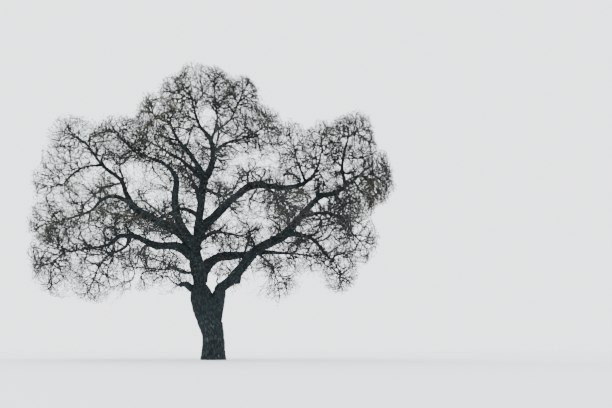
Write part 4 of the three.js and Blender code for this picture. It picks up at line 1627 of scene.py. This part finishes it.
def bark_finish(name, wood, lichen):
    """Ridged grey bark: painted shade that is darkest in its cracks, paler on its ridges, with
    lichen up to a height.
    """
    bark = Finish(name)
    grain = bark.node("ShaderNodeAttribute", {"attribute_name": "grain"}, output="Vector")
    ridge = bark.node("ShaderNodeAttribute", {"attribute_name": "ridge"}, output="Fac")
    height = bark.node("ShaderNodeSeparateXYZ", None, {0: bark.place()}, output="Z")
    long_grain = bark.node("ShaderNodeVectorMath", {"operation": "MULTIPLY"},
        {0: grain, 1: (1, 1, 0.28)})
    fibres = bark.grit(long_grain, scale=55, detail=5, roughness=0.65)
    flakes = bark.node("ShaderNodeTexVoronoi", {"feature": "DISTANCE_TO_EDGE"},
        {"Vector": long_grain, "Scale": 42})
    flake = flakes.between(0.0, 0.22)
    weather = bark.grit(grain, scale=1.6, detail=3, roughness=0.5)
    high = ridge.between(0.05, 0.75)
    # Painted shade: where the relief is low, in the cracks, the bark takes the near-black crack
    # colour.
    ridges_and_crack_shade = bark.mix(high, (*wood.crack_shade_colour, 1), (*wood.ridge_colour, 1))
    toned = bark.mix(weather.between(0.4, 0.7) * 0.55, ridges_and_crack_shade, (*wood.cool_colour, 1))
    grazed = bark.mix(fibres.between(0.3, 0.8) * flake * 0.35, toned, (*wood.pale_colour, 1))
    patch = bark.grit(grain, scale=2.3, detail=4).between(0.56, 0.66) * high
    low_down = 1 - (height / lichen).between(0.2, 1.0)
    crusted = bark.mix(patch * (low_down * 0.6 + 0.12), grazed, (*wood.lichen_colour, 1))
    stands = fibres * 0.5 + flake * 0.5 + ridge * 0.3
    bumped = bark.node("ShaderNodeBump", None,
        {"Strength": 0.6, "Distance": 0.012, "Height": stands})
    dull = 0.97 - fibres.between(0.4, 0.9) * 0.12
    return bark.surface(BARK_SHINE, base_color=crusted, roughness=dull, normal=bumped)


def twig_finish(name, colour, pale):
    """Thin bark: one colour, darkened as painted shade of the backlit crown, a little paler here
    and there.
    """
    twig = Finish(name)
    share = twig.grit(twig.place(), scale=6, detail=3).between(0.35, 0.7)
    tone = twig.mix(share * 0.5, (*colour, 1), (*pale, 1))
    return twig.surface(BARK_SHINE, base_color=tone, roughness=0.85)


def plain_finish(name, colour, shine, scale, roughness, roughening):
    """One colour, whose roughness varies a little: leaves and the floor."""
    plain = Finish(name)
    share = plain.grit(plain.place(), scale, detail=2)
    rough = roughness + share * roughening
    return plain.surface(shine, base_color=(*colour, 1), roughness=rough)


# Sizes and colours that a user would change

def colour_property(name, description, default):
    return bpy.props.FloatVectorProperty(name=name, description=description, default=default,
        subtype="COLOR", size=3, min=0, max=1)


class OakWoodSettings(bpy.types.PropertyGroup):
    """Sizes and colours of the trunk's and the boughs' bark. The colours are far darker than the
    bark's own, as painted shade of the backlit tree.
    """

    trunk_voxel: bpy.props.FloatProperty(name="Trunk grid", default=0.018, unit="LENGTH",
        description="How finely the trunk's skin is divided")
    bough_voxel: bpy.props.FloatProperty(name="Bough grid", default=0.0375, unit="LENGTH",
        description="How finely the stout boughs' skin is divided")
    relief: bpy.props.FloatProperty(name="Bark depth", default=0.021, unit="LENGTH",
        description="How deep the bark's cracks are on the trunk")
    # Painted shade: every bark colour here is darkened well below the oak's own grey bark, for the
    # shade of the backlit tree. The crack colour is darkest, as painted shade in the cracks.
    crack_shade_colour: colour_property("Cracks", "Colour deep in the bark", (0.004, 0.007, 0.008))
    ridge_colour: colour_property("Ridges", "Colour of the bark's ridges", (0.022, 0.029, 0.031))
    cool_colour: colour_property("Weathered", "Colour of cool grey areas", (0.013, 0.024, 0.028))
    pale_colour: colour_property("Rubbed", "Colour of rubbed fibres", (0.045, 0.052, 0.052))
    lichen_colour: colour_property("Lichen", "Colour of crusts on the bark", (0.085, 0.105, 0.10))


class OakCrownSettings(bpy.types.PropertyGroup):
    """Sizes and colours of the twigs and the young leaves. The twig colours are darkened and cooled
    as painted shade of the backlit crown. The leaf tints are partly the young leaves' own and
    partly painted shade.
    """

    twig_count: bpy.props.IntProperty(name="Twigs", default=80000,
        description="How many twigs the crown has")
    tip_radius: bpy.props.FloatProperty(name="Tip radius", default=0.0056, unit="LENGTH",
        description="Radius of a twig that feeds only its own tip")
    leaves_per_tip: bpy.props.FloatProperty(name="Leaves", default=1.95,
        description="Young leaves at each twig's end, on average")
    leaf_length: bpy.props.FloatProperty(name="Leaf length", default=0.062, unit="LENGTH",
        description="Length of a young leaf")
    # Painted shade: the twig and shoot colours are darker and cooler than the twigs' own bark, for
    # the shade of the backlit crown.
    twig_colour: colour_property("Twigs", "Colour of older twigs", (0.015, 0.020, 0.022))
    twig_pale: colour_property("Twig bloom", "Paler areas of older twigs", (0.034, 0.038, 0.039))
    shoot_colour: colour_property("Shoots", "Colour of young shoots", (0.034, 0.034, 0.031))
    # Partly the young leaves' own olive, tan and brown, and partly painted shade: all the tints are
    # cooled and darkened for the backlit crown's shade, the dusky one most.
    olive: colour_property("Olive leaves", "Tint of olive sprays", (0.085, 0.088, 0.052))
    tan: colour_property("Tan leaves", "Tint of tan sprays", (0.13, 0.105, 0.068))
    brown: colour_property("Brown leaves", "Tint of brown sprays", (0.072, 0.065, 0.052))
    dusky: colour_property("Dusky leaves", "Tint of dark sprays", (0.032, 0.036, 0.035))


class OakStageSettings(bpy.types.PropertyGroup):
    """The floor and the light round the tree."""

    floor_width: bpy.props.FloatProperty(name="Floor width", default=1200.0, unit="LENGTH",
        description="Width of the plain floor")
    floor_colour: colour_property("Floor", "Colour of the floor", (0.80, 0.81, 0.82))
    sky_colour: colour_property("Surroundings", "Colour of the light all round", (0.94, 0.97, 1.0))
    sky_strength: bpy.props.FloatProperty(name="Surrounding light", default=2.9,
        description="Strength of the light all round")
    sun_strength: bpy.props.FloatProperty(name="Sun", default=1.6,
        description="Strength of the soft light from the upper left behind the tree")


# Making the pieces

class OAK_OT_trunk(bpy.types.Operator):
    """Skin the trunk, its fork and the feet of the boughs with ridged bark"""

    bl_idname = "oak.trunk"
    bl_label = "Trunk"

    def execute(self, context):
        wood = context.scene.oak_wood
        stout, _ = limb_axes()
        tubes = stout_wood(stout, below=SEAM_HEIGHT + SEAM_OVERLAP)
        skin, faces = voxel_skin(tubes, wood.trunk_voxel)
        skin = smoothed(skin, faces, TRUNK_ROUNDS)
        mesh = barked(skin, [faces], stout, wood.relief)
        cut_level(mesh, 0.0, keep_above=True)
        cut_level(mesh, SEAM_HEIGHT, keep_above=False)
        finish = bark_finish("Trunk bark", wood, LICHEN_ON_TRUNK)
        place_piece("trunk_bark", mesh, [finish], ["trunk"])
        return {"FINISHED"}


class OAK_OT_boughs(bpy.types.Operator):
    """Skin the boughs with bark, the stout ones as one with the limbs that they grow on"""

    bl_idname = "oak.boughs"
    bl_label = "Boughs"

    def execute(self, context):
        wood = context.scene.oak_wood
        stout, thin = limb_axes()
        tubes = stout_wood(stout, above=SEAM_HEIGHT - SEAM_OVERLAP)
        skin, faces = voxel_skin(tubes, wood.bough_voxel)
        skin = smoothed(skin, faces, BOUGH_ROUNDS)
        ends = thin_wood(thin)
        points = np.vstack([skin, ends.points])
        mesh = barked(points, [faces, ends.faces + len(skin)], stout + thin, wood.relief)
        cut_level(mesh, SEAM_HEIGHT, keep_above=True)
        finish = bark_finish("Bough bark", wood, LICHEN_ON_BOUGHS)
        nodes = [f"bough_{bough['name']}" for bough in BOUGHS]
        place_piece("bough_bark", mesh, [finish], nodes)
        return {"FINISHED"}


class OAK_OT_twigs(bpy.types.Operator):
    """Grow the twigs of each side of the crown, from the masses' first twigs and from the boughs"""

    bl_idname = "oak.twigs"
    bl_label = "Twigs"

    def execute(self, context):
        crown = context.scene.oak_crown
        older = twig_finish("Older twigs", crown.twig_colour, crown.twig_pale)
        young = twig_finish("Young shoots", crown.shoot_colour, crown.twig_pale)
        for side, growth in grow_crown(crown.twig_count).items():
            wood = grown_twigs(growth, crown.tip_radius)
            tints = (wood.girths < YOUNG_GIRTH).astype(int)
            mesh = mesh_of(f"twigs of the {side}", wood.points, [wood.faces], tints, smooth=True)
            place_piece(f"fine_twigs_{side}", mesh, [older, young], nodes_on(side))
        return {"FINISHED"}


class OAK_OT_leaves(bpy.types.Operator):
    """Set young leaves on the ends of the twigs, tinted spray by spray"""

    bl_idname = "oak.leaves"
    bl_label = "Young leaves"

    def execute(self, context):
        crown = context.scene.oak_crown
        finishes = [
            plain_finish(f"Young leaf {tint}", getattr(crown, tint), LEAF_SHINE,
                scale=30, roughness=0.55, roughening=0.2)
            for tint in ("olive", "tan", "brown", "dusky")
        ]
        for number, (side, growth) in enumerate(grow_crown(crown.twig_count).items()):
            rng = np.random.default_rng(LEAF_SEED + number)
            corners, tints = grown_leaves(growth, rng, crown.leaves_per_tip, crown.leaf_length)
            first_corners = np.arange(len(corners)) * len(LEAF_OUTLINE)
            faces = np.array(LEAF_FACES) + first_corners[:, None, None]
            mesh = mesh_of(f"leaves of the {side}", corners.reshape(-1, 3),
                [faces.reshape(-1, 3)], np.repeat(tints, len(LEAF_FACES)))
            place_piece(f"young_leaves_{side}", mesh, finishes, [])
        return {"FINISHED"}


class OAK_OT_stage(bpy.types.Operator):
    """Lay the plain floor, and set the light and the camera"""

    bl_idname = "oak.stage"
    bl_label = "Floor, light and camera"

    def execute(self, context):
        stage = context.scene.oak_stage
        lay_floor(context.scene, stage)
        light_up(context.scene, stage)
        set_camera(context.scene)
        return {"FINISHED"}


def lay_floor(scene, stage):
    """A plain level floor, which is stage and not a piece of the tree."""
    half = stage.floor_width / 2
    corners = np.array([(-half, -half, 0), (half, -half, 0), (half, half, 0), (-half, half, 0)])
    mesh = mesh_of("floor", corners, [np.array([[0, 1, 2, 3]])])
    finish = plain_finish("Plain floor", stage.floor_colour, FLOOR_SHINE,
        scale=0.8, roughness=0.8, roughening=0.1)
    mesh.materials.append(finish)
    floor = bpy.data.objects.new("floor", mesh)
    scene.collection.objects.link(floor)
    floor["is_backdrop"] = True


def light_up(scene, stage):
    """Pale light all round, and a soft sun from behind."""
    world = bpy.data.worlds.new("Surroundings")
    world.use_nodes = True
    sky = world.node_tree.nodes["Background"]
    sky.inputs["Color"].default_value = (*stage.sky_colour, 1)
    sky.inputs["Strength"].default_value = stage.sky_strength
    scene.world = world
    data = bpy.data.lights.new("soft sun", "SUN")
    data.energy = stage.sun_strength
    data.angle = math.radians(SUN_WIDTH)
    data.color = SUN_COLOUR
    sun = bpy.data.objects.new("soft sun", data)
    sun.rotation_euler = Vector(SUN_COURSE).to_track_quat("-Z", "Y").to_euler()
    scene.collection.objects.link(sun)


def set_camera(scene):
    """The photo's view: from the front, at the eye's height, aimed a little up."""
    data = bpy.data.cameras.new("front")
    data.lens = CAMERA_LENS
    data.sensor_width = SENSOR_WIDTH
    data.clip_end = CAMERA_REACH
    camera = bpy.data.objects.new("front", data)
    camera.location = EYE
    camera.rotation_euler = (math.radians(90 + CAMERA_RISE), 0, 0)
    scene.collection.objects.link(camera)
    scene.camera = camera


# The panel and the add-on's register

OPERATORS = (OAK_OT_stage, OAK_OT_trunk, OAK_OT_boughs, OAK_OT_twigs, OAK_OT_leaves)


class OAK_PT_panel(bpy.types.Panel):
    """Lists the steps that make the tree, and the sizes and colours that they use"""

    bl_idname = "OAK_PT_panel"
    bl_label = "Old oak"
    bl_space_type = "VIEW_3D"
    bl_region_type = "UI"
    bl_category = "Oak"

    def draw(self, context):
        for operator in OPERATORS:
            self.layout.operator(operator.bl_idname)
        for settings in (context.scene.oak_wood, context.scene.oak_crown, context.scene.oak_stage):
            box = self.layout.box()
            for name in settings.bl_rna.properties.keys():
                if name not in ("rna_type", "name"):
                    box.prop(settings, name)


SETTINGS = {
    "oak_wood": OakWoodSettings, "oak_crown": OakCrownSettings, "oak_stage": OakStageSettings,
}


def register():
    for settings in SETTINGS.values():
        bpy.utils.register_class(settings)
    for name, settings in SETTINGS.items():
        setattr(bpy.types.Scene, name, bpy.props.PointerProperty(type=settings))
    for operator in OPERATORS:
        bpy.utils.register_class(operator)
    bpy.utils.register_class(OAK_PT_panel)


def unregister():
    bpy.utils.unregister_class(OAK_PT_panel)
    for operator in reversed(OPERATORS):
        bpy.utils.unregister_class(operator)
    for name in SETTINGS:
        delattr(bpy.types.Scene, name)
    for settings in reversed(SETTINGS.values()):
        bpy.utils.unregister_class(settings)


def main():
    register()
    bpy.ops.oak.stage()
    bpy.ops.oak.trunk()
    bpy.ops.oak.boughs()
    bpy.ops.oak.twigs()
    bpy.ops.oak.leaves()


if __name__ == "__main__":
    main()
